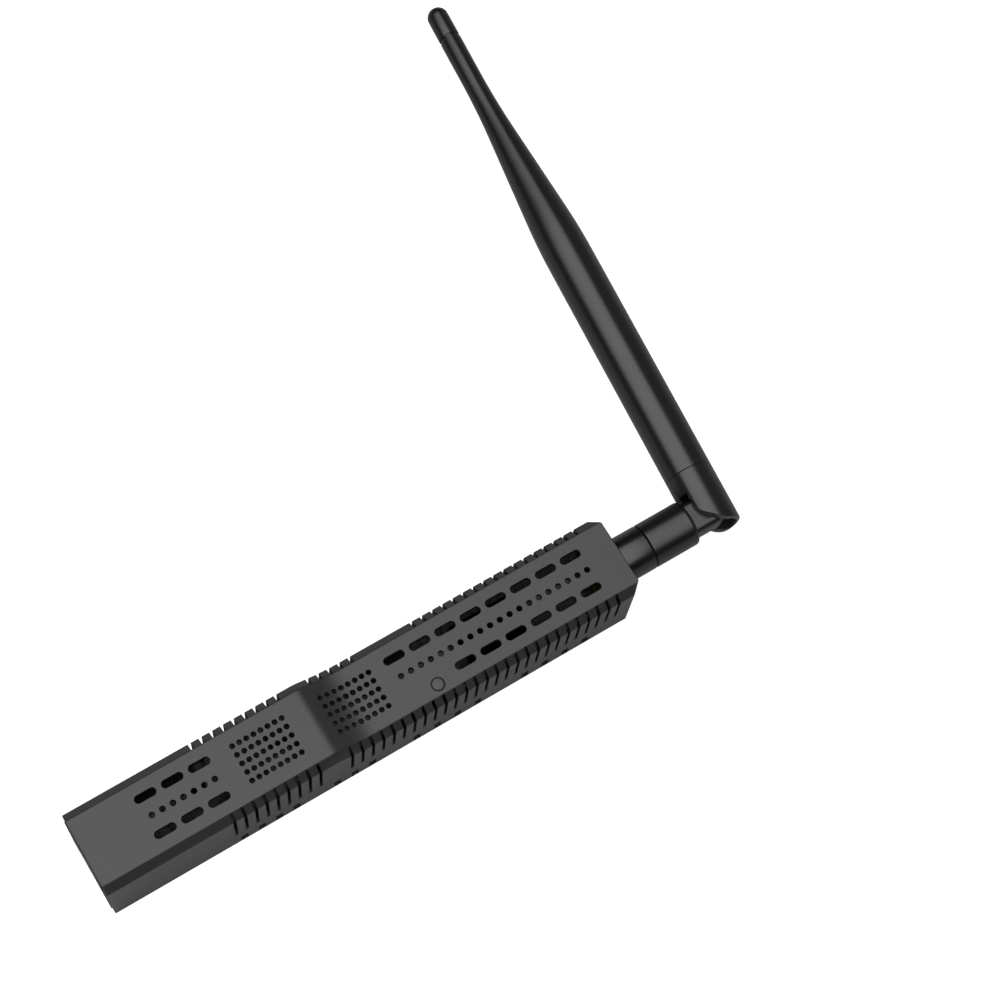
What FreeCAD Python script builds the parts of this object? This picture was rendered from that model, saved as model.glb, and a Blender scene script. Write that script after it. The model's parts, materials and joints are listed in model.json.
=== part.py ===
import FreeCAD, Part
import math
import os

from FreeCAD import Matrix, Vector

# Frame: X runs along the stick towards the antenna, Y across it, Z up.
# The origin is the middle of the case's underside, where the stick rests.
# All sizes are in millimetres.

# Case shell
CASE_LENGTH = 124.0
CASE_WIDTH = 18.4
FRONT_HEIGHT = 22.3
REAR_HEIGHT = 19.3
WALL = 1.2
EDGE_BEVEL = 1.8
CORNER_BEVEL = 2.0
RAMP_CREST_X = -10.0
RAMP_SLOPE = 0.43
CREST_BLEND_SHARE = 0.32
FOOT_BLEND_SHARE = 0.47
FIT_GAP = 0.06
RUNNING_GAP = 0.02

# Small round vents get this many flat sides, which reads as round at their size
VENT_SIDES = 8

# Round vent dots along the middle of the top
DOT_RADIUS = 0.62
DOT_PITCH = 7.0 / 3.0
FRONT_DOT_X = -46.92
FRONT_DOT_COUNT = 7
REAR_DOT_X = 9.63
REAR_DOT_COUNT = 20

# Long vent slots on both sides of the dots
TOP_SLOT_LENGTH = 4.7
TOP_SLOT_WIDTH = 1.7
TOP_SLOT_PITCH = 6.0
TOP_SLOT_Y = 4.04
FRONT_SLOT_X = -46.18
FRONT_SLOT_COUNT = 3
REAR_SLOT_X = 10.38
REAR_SLOT_COUNT = 8
REAR_SLOT_SKIP_COUNT = 2

# Two fields of fine holes above the warm parts
GRID_RADIUS = 0.55
GRID_PITCH_X = 1.6
GRID_PITCH_Y = 2.0
GRID_COLUMNS = 8
GRID_ROWS = 5
FRONT_GRID_X = -26.79
REAR_GRID_X = -6.81

# Narrow upright slots in both side walls
SIDE_SLOT_WIDTH = 0.7
SIDE_SLOT_PITCH = 2.432
SIDE_SLOT_X = -33.70
SIDE_SLOT_COUNT = 38
SIDE_SLOT_FLOOR = 8.2
RAMP_SLOT_NUMBERS = (9, 10)
FAR_SIDE_SLOT_NUMBERS = (16, 17, 18, 19, 20)
SLOT_EDGE_GAP = 0.05

# Small windows low in both side walls: first X and pitch of each run, then counts
WINDOW_WIDTH = 1.6
WINDOW_SILL = 0.4
WINDOW_TOP = 2.9
WINDOW_RUNS = ((-32.1, 4.04), (-10.4, 4.15), (8.5, 4.9), (34.7, 4.9))
WINDOW_COUNTS = (4, 3, 4, 4)

# Bottom plate, its screws and the screw bosses of the case
PLATE_THICKNESS = 1.4
LIP_THICKNESS = 0.6
PAD_RADIUS = 3.0
PAD_HEIGHT = 1.2
BOSS_RADIUS = 1.7
BOSS_SIDE_GAP = 0.11
FRONT_BOSS_INSET = 10.6
REAR_BOSS_INSET = 3.6
SEAT_GAP = 0.05
SCREW_RADIUS = 1.0
SCREW_LENGTH = 6.7
SCREW_HEAD_RADIUS = 1.9
SCREW_HEAD_HEIGHT = 1.25
HEAD_CLEARANCE = 0.2
RECESS_SPAN = 2.0
RECESS_WIDTH = 0.45
RECESS_DEPTH = 0.7
POST_SIZE = 2.2
POST_Y = 5.6
POST_X = (-40.0, 0.0, 40.0)

# End plate at the port end
PLATE_PROUD = 0.4
END_PLATE_THICKNESS = 1.3
GROOVE_DEPTH = 0.55
GROOVE_WIDTH = 0.9

# Circuit board
BOARD_THICKNESS = 1.6
BOARD_SIDE_GAP = 0.7
BOARD_END_GAP = 0.3
JACK_BOARD_GAP = 0.1
NOTCH_CLEARANCE = 0.3

# Recessed reversible port
SOCKET_WIDTH = 8.94
SOCKET_HEIGHT = 3.2
SOCKET_LENGTH = 7.3
SOCKET_WALL = 0.3
SOCKET_SETBACK = 0.2
SOCKET_CLEARANCE = 0.15
TONGUE_WIDTH = 6.7
TONGUE_THICKNESS = 0.7
TONGUE_SETBACK = 0.9
CORE_DEPTH = 1.8

# Push-button and its switch
BUTTON_X = 15.2
BUTTON_Y = -5.2
BUTTON_RADIUS = 1.35
BUTTON_CLEARANCE = 0.15
BUTTON_SETBACK = 0.1
BUTTON_TRAVEL = 0.3
FLANGE_RADIUS = 1.68
FLANGE_THICKNESS = 0.7
STEM_RADIUS = 0.9
SWITCH_SIZE = 3.6
SWITCH_HEIGHT = 3.6
PLUNGER_RADIUS = 1.0
PLUNGER_RUNNING_GAP = 0.08
PLUNGER_RISE = 0.9
PLUNGER_DEPTH = 0.8

# Antenna jack on the stick's long axis
AXIS_HEIGHT = 10.3
JACK_FLANGE_SIZE = 6.35
JACK_FLANGE_THICKNESS = 1.6
THREAD_RADIUS = 3.125
THREAD_REACH = 5.2
WALL_HOLE_GAP = 0.15
CONTACT_RADIUS = 0.635
CONTACT_TAIL = 4.6
CONTACT_SETBACK = 0.2
CONTACT_BORE_RADIUS = 0.5
JACK_BORE_RADIUS = 2.3
JACK_BORE_DEPTH = 4.0
JACK_INSULATOR_RADIUS = 2.05
LEG_LENGTH = 4.0
LEG_SIZE = 1.0
LEG_Y = 2.6

# Coupling nut and plug of the antenna
NUT_RADIUS = 5.0
NUT_LENGTH = 7.2
NUT_GAP = 0.1
NUT_THREAD_GAP = 0.05
NUT_EDGE = 0.25
FERRULE_FLANGE_RADIUS = 3.05
FERRULE_FLANGE_THICKNESS = 0.4
FERRULE_GAP = 0.03
FERRULE_TAIL = 7.0
FERRULE_NOSE = 3.0
FERRULE_BORE_RADIUS = 1.5
PIN_RADIUS = 0.45
PIN_REACH = 3.6
CLIP_INNER_RADIUS = 1.95
CLIP_OUTER_RADIUS = 2.9
CLIP_THICKNESS = 0.6
CLIP_GAP = 0.05
CLIP_SETBACK = 1.2
CLIP_OPENING = 1.6

# Swivel barrel and its hinge tongue
BARREL_RADIUS = 5.0
BARREL_GAP = 0.2
BARREL_LENGTH = 10.55
BARREL_EDGE = 0.35
BARREL_END_WALL = 2.0
PIVOT_REACH = 5.25
HINGE_TONGUE_THICKNESS = 5.8
HINGE_TONGUE_RADIUS = 3.75
STUD_RADIUS = 1.5
STUD_HEIGHT = 1.1
SPIN_GAP = 0.05
LEAD_RADIUS = 1.25
LEAD_SLOT_WIDTH = 2.9
LEAD_GAP = 0.1

# Antenna rod, measured along its own axis from the hinge
ROD_RADIUS = 5.22
FORK_END = 4.6
FORK_SEAM = 9.0
FORK_WALL = 1.0
FORK_SIDE_GAP = 0.2
FORK_ROOF_GAP = 0.4
FORK_END_ROUNDING = 0.5
MOUTH_TOP = 4.4
CHEEK_FLAT = 3.3
CHEEK_CORNER = 0.1
CHEEK_TOE = 1.75
CHEEK_CORNER_BLEND = 1.0
CHEEK_TOE_BLEND = 1.5
SPIGOT_RADIUS = 4.1
SPIGOT_LENGTH = 8.0
TAPER_SHOULDER = 70.9
TAPER_NECK = 107.5
SHOULDER_BLEND = 5.9
NECK_BLEND = 7.5
THIN_RADIUS = 2.44
SLEEVE_END = 125.8
SLEEVE_BORE_RADIUS = 3.4
SLEEVE_THIN_BORE_RADIUS = 1.05
BORE_TAPER_START = 60.0
BORE_TAPER_END = 95.0
CAP_GROOVE_WIDTH = 0.8
CAP_GROOVE_RADIUS = 2.2
CAP_END = 134.85
CAP_SPIGOT_RADIUS = 1.5
CAP_SPIGOT_LENGTH = 7.4
TUBE_RADIUS = 3.0
TUBE_WALL = 0.5
TUBE_END = 58.0
TUBE_SEAT = 5.0
BEAD_LENGTH = 4.0
WHIP_RADIUS = 0.8
WHIP_SEAT = 3.6
BEND_DEGREES = 84.45
TIP_CLEARANCE = 1.5

# Components on the board: place, length along X, width along Y, height
BRIDGE_CHIP = (-42.0, 0.0, 5.0, 5.0, 0.9)
MEMORY_CHIP = (-9.0, 0.0, 4.9, 3.9, 1.5)
REGULATOR = (-25.0, 0.5, 6.5, 3.5, 1.6)
CRYSTAL = (-36.0, 3.4, 3.2, 2.5, 0.8)
CAPACITOR_SPOTS = ((-32.0, -3.6), (-17.5, 3.6))
CAPACITOR_SIZE = (3.5, 2.8, 1.9)
PACKAGE_BEVEL_SHARE = 0.12
LEAD_THICKNESS = 0.25
MEMORY_LEAD_COUNT = 4
MEMORY_LEAD_PITCH = 1.27
MEMORY_LEAD_REACH = 1.0
MEMORY_LEAD_WIDTH = 0.42
REGULATOR_LEAD_COUNT = 3
REGULATOR_LEAD_PITCH = 2.3
REGULATOR_LEAD_REACH = 1.6
REGULATOR_LEAD_WIDTH = 0.7
REGULATOR_TAB_WIDTH = 3.0
SMALL_PART_SIZE = (1.0, 0.6, 0.45)
SMALL_PART_START = 1.5
SMALL_PART_PITCH = 2.1
SMALL_PART_COUNT = 7
SMALL_PART_Y = (-0.9, 2.6, 4.6)
MODULE_SETBACK = 28.0
MODULE_LENGTH = 22.0
MODULE_WIDTH = 12.6
MODULE_THICKNESS = 0.8
CAN_LENGTH = 15.0
CAN_WIDTH = 10.8
CAN_HEIGHT = 2.2
CAN_WALL = 0.25
CAN_SHIFT = -2.0
LED_DOT_NUMBER = 2
LED_SIZE = (1.6, 0.8, 0.4)
LED_LENS_RADIUS = 0.35
LED_LENS_RISE = 0.2

# Cutters run past the faces that they cut, and edges are told apart by less than a trifle
OVERRUN = 1.0
TRIFLE = 1e-6

# Places worked out from the sizes above
HALF_LENGTH = CASE_LENGTH / 2
MODULE_X = HALF_LENGTH - MODULE_SETBACK
HALF_WIDTH = CASE_WIDTH / 2
BEVEL_LOSS = 2.0 - math.sqrt(2.0)
INNER_END = HALF_LENGTH - WALL
BOSS_ROOM = HALF_WIDTH - WALL - JACK_FLANGE_SIZE / 2
BOSS_Y = (JACK_FLANGE_SIZE + BOSS_ROOM) / 2
SHOULDER_RADIUS = BOSS_ROOM / 2 - BOSS_SIDE_GAP
BOSS_POINTS = [(x, side * BOSS_Y)
               for x in (FRONT_BOSS_INSET - HALF_LENGTH, HALF_LENGTH - REAR_BOSS_INSET)
               for side in (-1, 1)]
BOARD_TOP = AXIS_HEIGHT - CONTACT_RADIUS
BOARD_BOTTOM = BOARD_TOP - BOARD_THICKNESS
GROOVE_START = -HALF_LENGTH + END_PLATE_THICKNESS - PLATE_PROUD
GROOVE_END = GROOVE_START + GROOVE_WIDTH
PAD_TOP = PLATE_THICKNESS + PAD_HEIGHT
JACK_BACK = INNER_END - JACK_FLANGE_THICKNESS
JACK_FRONT = HALF_LENGTH + THREAD_REACH
BOARD_START = GROOVE_END + BOARD_END_GAP
BOARD_END = JACK_BACK - JACK_BOARD_GAP
SOCKET_FRONT = -HALF_LENGTH - PLATE_PROUD + SOCKET_SETBACK
SOCKET_Z = BOARD_TOP + SOCKET_HEIGHT / 2
NUT_START = HALF_LENGTH + NUT_GAP
NUT_END = NUT_START + NUT_LENGTH
WEB_START = JACK_FRONT + FERRULE_FLANGE_THICKNESS + 2 * FERRULE_GAP
BARREL_START = NUT_END + BARREL_GAP
BARREL_END = BARREL_START + BARREL_LENGTH
PIVOT_X = BARREL_END + PIVOT_REACH
FERRULE_END = WEB_START + FERRULE_TAIL
CLIP_X = FERRULE_END - CLIP_SETBACK
FORK_SLOT = HINGE_TONGUE_THICKNESS + 2 * FORK_SIDE_GAP
TONGUE_ROUNDING = ROD_RADIUS - FORK_WALL - FORK_SIDE_GAP / 2
SPIGOT_END = FORK_SEAM + SPIGOT_LENGTH
CAP_START = SLEEVE_END + CAP_GROOVE_WIDTH
CAP_CENTRE = CAP_END - THIN_RADIUS
CAP_SPIGOT_START = SLEEVE_END - CAP_SPIGOT_LENGTH

# The rod lies down until its tip is a small clearance above the surface under the case
LEAN = math.radians(90.0 - BEND_DEGREES)
REST_TILT = math.asin((AXIS_HEIGHT - THIN_RADIUS - TIP_CLEARANCE) / (CAP_CENTRE * math.cos(LEAN)))


def box(x0, x1, y0, y1, z0, z1):
    """Block between two corners."""
    return Part.makeBox(x1 - x0, y1 - y0, z1 - z0, Vector(x0, y0, z0))


def upright(x, y, radius, z0, z1):
    """Upright cylinder."""
    return Part.makeCylinder(radius, z1 - z0, Vector(x, y, z0), Vector(0, 0, 1))


def vent(x, y, radius, z0, z1):
    """Upright cutter for a small round vent, as a regular prism of the same area."""
    sides = VENT_SIDES
    corner = radius * math.sqrt(2 * math.pi / sides / math.sin(2 * math.pi / sides))
    turns = [2 * math.pi * i / sides for i in range(sides)]
    points = [Vector(x + corner * math.cos(a), y + corner * math.sin(a), z0) for a in turns]
    return prism(points, Vector(0, 0, z1 - z0))


def blended(corners, blends):
    """Edges through corners, each inner corner rounded by an arc of the given tangent length."""
    edges = []
    start = corners[0]
    for before, corner, after, blend in zip(corners, corners[1:], corners[2:], blends):
        enter = (before - corner).normalize()
        leave = (after - corner).normalize()
        middle = (enter + leave).normalize()
        half_turn = enter.getAngle(leave) / 2
        radius = blend * math.tan(half_turn)
        apex = corner + middle * (blend / math.cos(half_turn) - radius)
        first = corner + enter * blend
        last = corner + leave * blend
        edges += [Part.makeLine(start, first), Part.Arc(first, apex, last).toShape()]
        start = last
    return edges + [Part.makeLine(start, corners[-1])]


def prism(points, direction):
    """Flat outline through the points, drawn out along a direction."""
    return Part.Face(Part.makePolygon(points + [points[0]])).extrude(direction)


def along_x(radius, x0, x1, y=0.0, z=AXIS_HEIGHT):
    """Cylinder along X, on the jack's axis unless told otherwise."""
    return Part.makeCylinder(radius, x1 - x0, Vector(x0, y, z), Vector(1, 0, 0))


def ring_x(outer, inner, x0, x1):
    """Tube along the jack's axis."""
    return along_x(outer, x0, x1).cut(along_x(inner, x0, x1))


def turned_x(outline):
    """Solid turned about the jack's axis from points of (x, radius)."""
    points = [Vector(x, 0, AXIS_HEIGHT + r) for x, r in outline]
    face = Part.Face(Part.makePolygon(points + [points[0]]))
    return face.revolve(Vector(0, 0, AXIS_HEIGHT), Vector(1, 0, 0), 360)


def flat_tube_x(width, height, x0, x1, z):
    """Bar along X with fully rounded narrow sides."""
    half = (width - height) / 2
    radius = height / 2
    bar = box(x0, x1, -half, half, z - radius, z + radius)
    return bar.fuse([along_x(radius, x0, x1, side * half, z) for side in (-1, 1)]).removeSplitter()


def bevel_at(bevel, inset):
    """Bevel that keeps an even wall when its faces move in by an inset."""
    return bevel - inset * BEVEL_LOSS


def case_block(inset, x_start, x_end, floor_z):
    """Body inside the case's outer skin moved in by an inset, with its bevels."""
    half = HALF_WIDTH - inset
    front_top = FRONT_HEIGHT - inset
    rear_top = REAR_HEIGHT - inset
    shift = inset * math.tan(math.atan(RAMP_SLOPE) / 2)
    run = (FRONT_HEIGHT - REAR_HEIGHT) / RAMP_SLOPE
    top = [Vector(x_start, -half, front_top),
           Vector(RAMP_CREST_X - shift, -half, front_top),
           Vector(RAMP_CREST_X + run - shift, -half, rear_top),
           Vector(x_end, -half, rear_top)]
    base = [top[-1], Vector(x_end, -half, floor_z), Vector(x_start, -half, floor_z), top[0]]
    length = math.hypot(run, FRONT_HEIGHT - REAR_HEIGHT)
    edges = blended(top, (CREST_BLEND_SHARE * length, FOOT_BLEND_SHARE * length))
    edges += [Part.makeLine(a, b) for a, b in zip(base, base[1:])]
    body = Part.Face(Part.Wire(edges)).extrude(Vector(0, 2 * half, 0))
    ends = [e for e in body.Edges
            if abs(e.BoundBox.XLength) < TRIFLE and abs(e.BoundBox.YLength) < TRIFLE
            and e.BoundBox.XMin > x_end - TRIFLE]
    body = body.makeChamfer(bevel_at(CORNER_BEVEL, inset), ends)
    shoulders = [e for e in body.Edges
                 if e.BoundBox.ZMin > rear_top - TRIFLE and e.BoundBox.YLength < TRIFLE
                 and abs(abs(e.BoundBox.Center.y) - half) < TRIFLE]
    return body.makeChamfer(bevel_at(EDGE_BEVEL, inset), shoulders)


def front_section(inset, x_start, x_end, floor_z):
    """Slice of the case's cross-section at the port end."""
    half = HALF_WIDTH - inset
    top = FRONT_HEIGHT - inset
    bevel = bevel_at(EDGE_BEVEL, inset)
    corners = [(-half, floor_z), (half, floor_z), (half, top - bevel),
               (half - bevel, top), (bevel - half, top), (-half, top - bevel)]
    return prism([Vector(x_start, y, z) for y, z in corners], Vector(x_end - x_start, 0, 0))


def rounded_slot(x, y, low, high):
    """Cutter for one long vent slot in the top, with round ends."""
    radius = TOP_SLOT_WIDTH / 2
    reach = TOP_SLOT_LENGTH / 2 - radius
    steps = VENT_SIDES // 2
    points = []
    for side in (1, -1):
        for i in range(steps + 1):
            turn = math.pi * i / steps
            points.append(Vector(x + side * (reach + radius * math.sin(turn)),
                                 y - side * radius * math.cos(turn), low))
    return prism(points, Vector(0, 0, high - low))


def top_vents():
    """Cutters for every opening in the top face."""
    low = REAR_HEIGHT - 2 * WALL
    high = FRONT_HEIGHT + WALL
    dots = [FRONT_DOT_X + i * DOT_PITCH for i in range(FRONT_DOT_COUNT)]
    dots += [REAR_DOT_X + i * DOT_PITCH for i in range(REAR_DOT_COUNT)]
    cutters = [vent(x, 0, DOT_RADIUS, low, high) for x in dots]
    for start in (FRONT_GRID_X, REAR_GRID_X):
        for column in range(GRID_COLUMNS):
            for row in range(GRID_ROWS):
                y = (row - (GRID_ROWS - 1) / 2) * GRID_PITCH_Y
                cutters.append(vent(start + column * GRID_PITCH_X, y, GRID_RADIUS, low, high))
    for side in (-1, 1):
        for i in range(FRONT_SLOT_COUNT):
            x = FRONT_SLOT_X + i * TOP_SLOT_PITCH
            cutters.append(rounded_slot(x, side * TOP_SLOT_Y, low, high))
        first = REAR_SLOT_SKIP_COUNT if side < 0 else 0
        for i in range(first, REAR_SLOT_COUNT):
            x = REAR_SLOT_X + i * TOP_SLOT_PITCH
            cutters.append(rounded_slot(x, side * TOP_SLOT_Y, low, high))
    cutters.append(upright(BUTTON_X, BUTTON_Y, BUTTON_RADIUS + BUTTON_CLEARANCE, low, high))
    return cutters


def side_vents():
    """Cutters for the upright slots and the low windows of both side walls."""
    inner = HALF_WIDTH - EDGE_BEVEL + SLOT_EDGE_GAP
    skin = HALF_WIDTH - 1.5 * WALL
    outer = HALF_WIDTH + WALL
    cutters = []
    for side in (-1, 1):
        for k in range(SIDE_SLOT_COUNT):
            if k in RAMP_SLOT_NUMBERS or (side > 0 and k in FAR_SIDE_SLOT_NUMBERS):
                continue
            x = SIDE_SLOT_X + k * SIDE_SLOT_PITCH
            y0, y1 = sorted((side * inner, side * outer))
            half = SIDE_SLOT_WIDTH / 2
            cutters.append(box(x - half, x + half, y0, y1, SIDE_SLOT_FLOOR, FRONT_HEIGHT + WALL))
        for (start, pitch), count in zip(WINDOW_RUNS, WINDOW_COUNTS):
            for i in range(count):
                x = start + i * pitch
                y0, y1 = sorted((side * skin, side * outer))
                half = WINDOW_WIDTH / 2
                cutters.append(box(x - half, x + half, y0, y1, WINDOW_SILL, WINDOW_TOP))
    return cutters


def make_top_cover():
    """Case shell with its ramp, bevels, vents, screw bosses and plate groove."""
    shell = case_block(0, -HALF_LENGTH, HALF_LENGTH, 0)
    shell = shell.cut(case_block(WALL, -HALF_LENGTH - WALL, INNER_END, -WALL))
    bosses = []
    pilots = []
    for x, y in BOSS_POINTS:
        roof = (FRONT_HEIGHT if x < RAMP_CREST_X else REAR_HEIGHT) - WALL / 2
        bosses.append(upright(x, y, BOSS_RADIUS, PAD_TOP + SEAT_GAP, roof))
        bosses.append(upright(x, y, SHOULDER_RADIUS, BOARD_TOP + SEAT_GAP, roof))
        pilot_end = PLATE_THICKNESS + SCREW_LENGTH + SEAT_GAP
        pilots.append(upright(x, y, SCREW_RADIUS + RUNNING_GAP, 0, pilot_end))
    outline = case_block(WALL / 2, -HALF_LENGTH, HALF_LENGTH - WALL / 2, 0)
    shell = shell.fuse([boss.common(outline) for boss in bosses]).removeSplitter()
    groove = front_section(WALL - GROOVE_DEPTH, GROOVE_START, GROOVE_END, -WALL)
    jack_hole = along_x(THREAD_RADIUS + WALL_HOLE_GAP, INNER_END - WALL / 2, HALF_LENGTH + WALL)
    return shell.cut(pilots + [groove, jack_hole] + top_vents() + side_vents())


def make_bottom_plate():
    """Inset plate that closes the case, with screw pads and board posts."""
    half = HALF_WIDTH - WALL - FIT_GAP
    end = INNER_END - FIT_GAP
    bevel = bevel_at(CORNER_BEVEL, WALL)
    start = GROOVE_END + FIT_GAP
    corners = [(start, -half), (end - bevel, -half), (end, bevel - half),
               (end, half - bevel), (end - bevel, half), (start, half)]
    plate = prism([Vector(x, y, 0) for x, y in corners], Vector(0, 0, PLATE_THICKNESS))
    plate = plate.fuse(box(-HALF_LENGTH, start, -half, half, 0, LIP_THICKNESS))
    pads = [upright(x, y, PAD_RADIUS, 0, PAD_TOP) for x, y in BOSS_POINTS]
    inside = prism([Vector(x, y, 0) for x, y in corners], Vector(0, 0, PAD_TOP))
    plate = plate.fuse([pad.common(inside) for pad in pads])
    reach = POST_SIZE / 2
    posts = [box(x - reach, x + reach, y - reach, y + reach, 0, BOARD_BOTTOM)
             for x in POST_X for y in (-POST_Y, POST_Y)]
    plate = plate.fuse(posts).removeSplitter()
    holes = []
    for x, y in BOSS_POINTS:
        holes.append(upright(x, y, SCREW_HEAD_RADIUS + HEAD_CLEARANCE, -OVERRUN, SCREW_HEAD_HEIGHT))
        holes.append(upright(x, y, SCREW_RADIUS + HEAD_CLEARANCE, 0, PAD_TOP + OVERRUN))
    return plate.cut(holes)


def make_case_screws():
    """Four pan-head screws with cross recesses, in the plate's counterbores."""
    screws = []
    for x, y in BOSS_POINTS:
        head = upright(x, y, SCREW_HEAD_RADIUS, SEAT_GAP, SCREW_HEAD_HEIGHT)
        shank_end = SCREW_HEAD_HEIGHT + SCREW_LENGTH
        screw = head.fuse(upright(x, y, SCREW_RADIUS, SCREW_HEAD_HEIGHT, shank_end))
        span = RECESS_SPAN / 2
        width = RECESS_WIDTH / 2
        cross = [box(x - span, x + span, y - width, y + width, 0, RECESS_DEPTH),
                 box(x - width, x + width, y - span, y + span, 0, RECESS_DEPTH)]
        screws.append(screw.cut(cross).removeSplitter())
    return Part.makeCompound(screws)


def make_end_plate():
    """Dark plate round the port, held by its flange in the case's groove."""
    plate = front_section(WALL + FIT_GAP, -HALF_LENGTH - PLATE_PROUD,
                          GROOVE_END - FIT_GAP, LIP_THICKNESS)
    flange = front_section(WALL - GROOVE_DEPTH + FIT_GAP, GROOVE_START + FIT_GAP,
                           GROOVE_END - FIT_GAP, LIP_THICKNESS)
    opening = flat_tube_x(SOCKET_WIDTH + 2 * SOCKET_CLEARANCE,
                          SOCKET_HEIGHT + 2 * SOCKET_CLEARANCE,
                          -HALF_LENGTH - OVERRUN, GROOVE_END + OVERRUN, SOCKET_Z)
    return plate.fuse(flange).removeSplitter().cut(opening)


def make_circuit_board():
    """Main board, notched round the screw bosses."""
    half = HALF_WIDTH - WALL - BOARD_SIDE_GAP
    board = box(BOARD_START, BOARD_END, -half, half, BOARD_BOTTOM, BOARD_TOP)
    notches = [upright(x, y, BOSS_RADIUS + NOTCH_CLEARANCE, 0, FRONT_HEIGHT)
               for x, y in BOSS_POINTS]
    return board.cut(notches)


def make_usb_socket_shell():
    """Drawn steel shell of the port, closed at the back."""
    end = SOCKET_FRONT + SOCKET_LENGTH
    shell = flat_tube_x(SOCKET_WIDTH, SOCKET_HEIGHT, SOCKET_FRONT, end, SOCKET_Z)
    hollow = flat_tube_x(SOCKET_WIDTH - 2 * SOCKET_WALL, SOCKET_HEIGHT - 2 * SOCKET_WALL,
                         SOCKET_FRONT - OVERRUN, end - SOCKET_WALL, SOCKET_Z)
    return shell.cut(hollow)


def make_usb_socket_core():
    """Insulator block at the back of the port with the contact tongue."""
    end = SOCKET_FRONT + SOCKET_LENGTH - SOCKET_WALL
    inset = 2 * (SOCKET_WALL + FIT_GAP)
    block = flat_tube_x(SOCKET_WIDTH - inset, SOCKET_HEIGHT - inset,
                        end - CORE_DEPTH, end, SOCKET_Z)
    tongue = box(SOCKET_FRONT + TONGUE_SETBACK, end - CORE_DEPTH,
                 -TONGUE_WIDTH / 2, TONGUE_WIDTH / 2,
                 SOCKET_Z - TONGUE_THICKNESS / 2, SOCKET_Z + TONGUE_THICKNESS / 2)
    return block.fuse(tongue).removeSplitter()


def package(x, y, length, width, height, base=BOARD_TOP):
    """Moulded component body on a board, its top edges bevelled."""
    body = box(x - length / 2, x + length / 2, y - width / 2, y + width / 2, base, base + height)
    rim = [e for e in body.Edges if e.BoundBox.ZMin > base + height - TRIFLE]
    return body.makeChamfer(min(length, width, height) * PACKAGE_BEVEL_SHARE, rim)


def leads(x, y, count, pitch, body_width, reach, width, rise, sides=(-1, 1)):
    """Formed leads along the long sides of a component body."""
    shapes = []
    foot = LEAD_THICKNESS
    for side in sides:
        for i in range(count):
            lead_x = x + (i - (count - 1) / 2) * pitch
            y0 = y + side * (body_width / 2 - foot)
            y1 = y + side * (body_width / 2 + reach)
            knee = y + side * (body_width / 2 + foot)
            low, high = sorted((y0, knee))
            shapes.append(box(lead_x - width / 2, lead_x + width / 2, low, high,
                              BOARD_TOP, BOARD_TOP + rise))
            low, high = sorted((knee, y1))
            shapes.append(box(lead_x - width / 2, lead_x + width / 2, low, high,
                              BOARD_TOP, BOARD_TOP + foot))
    return shapes


def make_memory_chip():
    """Eight-lead memory package."""
    x, y, length, width, height = MEMORY_CHIP
    body = package(x, y, length, width, height)
    pins = leads(x, y, MEMORY_LEAD_COUNT, MEMORY_LEAD_PITCH, width, MEMORY_LEAD_REACH,
                 MEMORY_LEAD_WIDTH, height / 2)
    return body.fuse(pins).removeSplitter()


def make_voltage_regulator():
    """Power regulator with three leads and a wide tab."""
    x, y, length, width, height = REGULATOR
    body = package(x, y, length, width, height)
    pins = leads(x, y, REGULATOR_LEAD_COUNT, REGULATOR_LEAD_PITCH, width, REGULATOR_LEAD_REACH,
                 REGULATOR_LEAD_WIDTH, height / 2, (-1,))
    tab = leads(x, y, 1, 0, width, REGULATOR_LEAD_REACH, REGULATOR_TAB_WIDTH, height / 2, (1,))
    return body.fuse(pins + tab).removeSplitter()


def make_power_capacitors():
    """Two moulded storage capacitors."""
    return Part.makeCompound([package(x, y, *CAPACITOR_SIZE) for x, y in CAPACITOR_SPOTS])


def make_chip_components():
    """Rows of small soldered resistors and capacitors."""
    return Part.makeCompound([
        package(SMALL_PART_START + i * SMALL_PART_PITCH, y, *SMALL_PART_SIZE)
        for y in SMALL_PART_Y for i in range(SMALL_PART_COUNT)])


def make_radio_module_board():
    """Small carrier board of the radio, soldered flat on the main board."""
    return box(MODULE_X - MODULE_LENGTH / 2, MODULE_X + MODULE_LENGTH / 2,
               -MODULE_WIDTH / 2, MODULE_WIDTH / 2, BOARD_TOP, BOARD_TOP + MODULE_THICKNESS)


def make_shield_can():
    """Folded metal lid over the radio chip, open below."""
    base = BOARD_TOP + MODULE_THICKNESS
    can = package(MODULE_X + CAN_SHIFT, 0, CAN_LENGTH, CAN_WIDTH, CAN_HEIGHT, base)
    x0 = MODULE_X + CAN_SHIFT - CAN_LENGTH / 2
    hollow = box(x0 + CAN_WALL, x0 + CAN_LENGTH - CAN_WALL,
                 CAN_WALL - CAN_WIDTH / 2, CAN_WIDTH / 2 - CAN_WALL,
                 base - OVERRUN, base + CAN_HEIGHT - 2 * CAN_WALL)
    return can.cut(hollow)


def make_status_led():
    """Indicator lamp under one of the middle dots."""
    x = REAR_DOT_X + LED_DOT_NUMBER * DOT_PITCH
    base = package(x, 0, *LED_SIZE)
    crown = BOARD_TOP + LED_SIZE[2]
    return base.fuse(vent(x, 0, LED_LENS_RADIUS, crown, crown + LED_LENS_RISE)).removeSplitter()


def make_switch_body():
    """Square switch housing with a well for its plunger."""
    half = SWITCH_SIZE / 2
    top = BOARD_TOP + SWITCH_HEIGHT
    body = box(BUTTON_X - half, BUTTON_X + half, BUTTON_Y - half, BUTTON_Y + half, BOARD_TOP, top)
    well_depth = PLUNGER_DEPTH + BUTTON_TRAVEL + SEAT_GAP
    well = upright(BUTTON_X, BUTTON_Y, PLUNGER_RADIUS + PLUNGER_RUNNING_GAP,
                   top - well_depth, top + OVERRUN)
    return body.cut(well)


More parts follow.
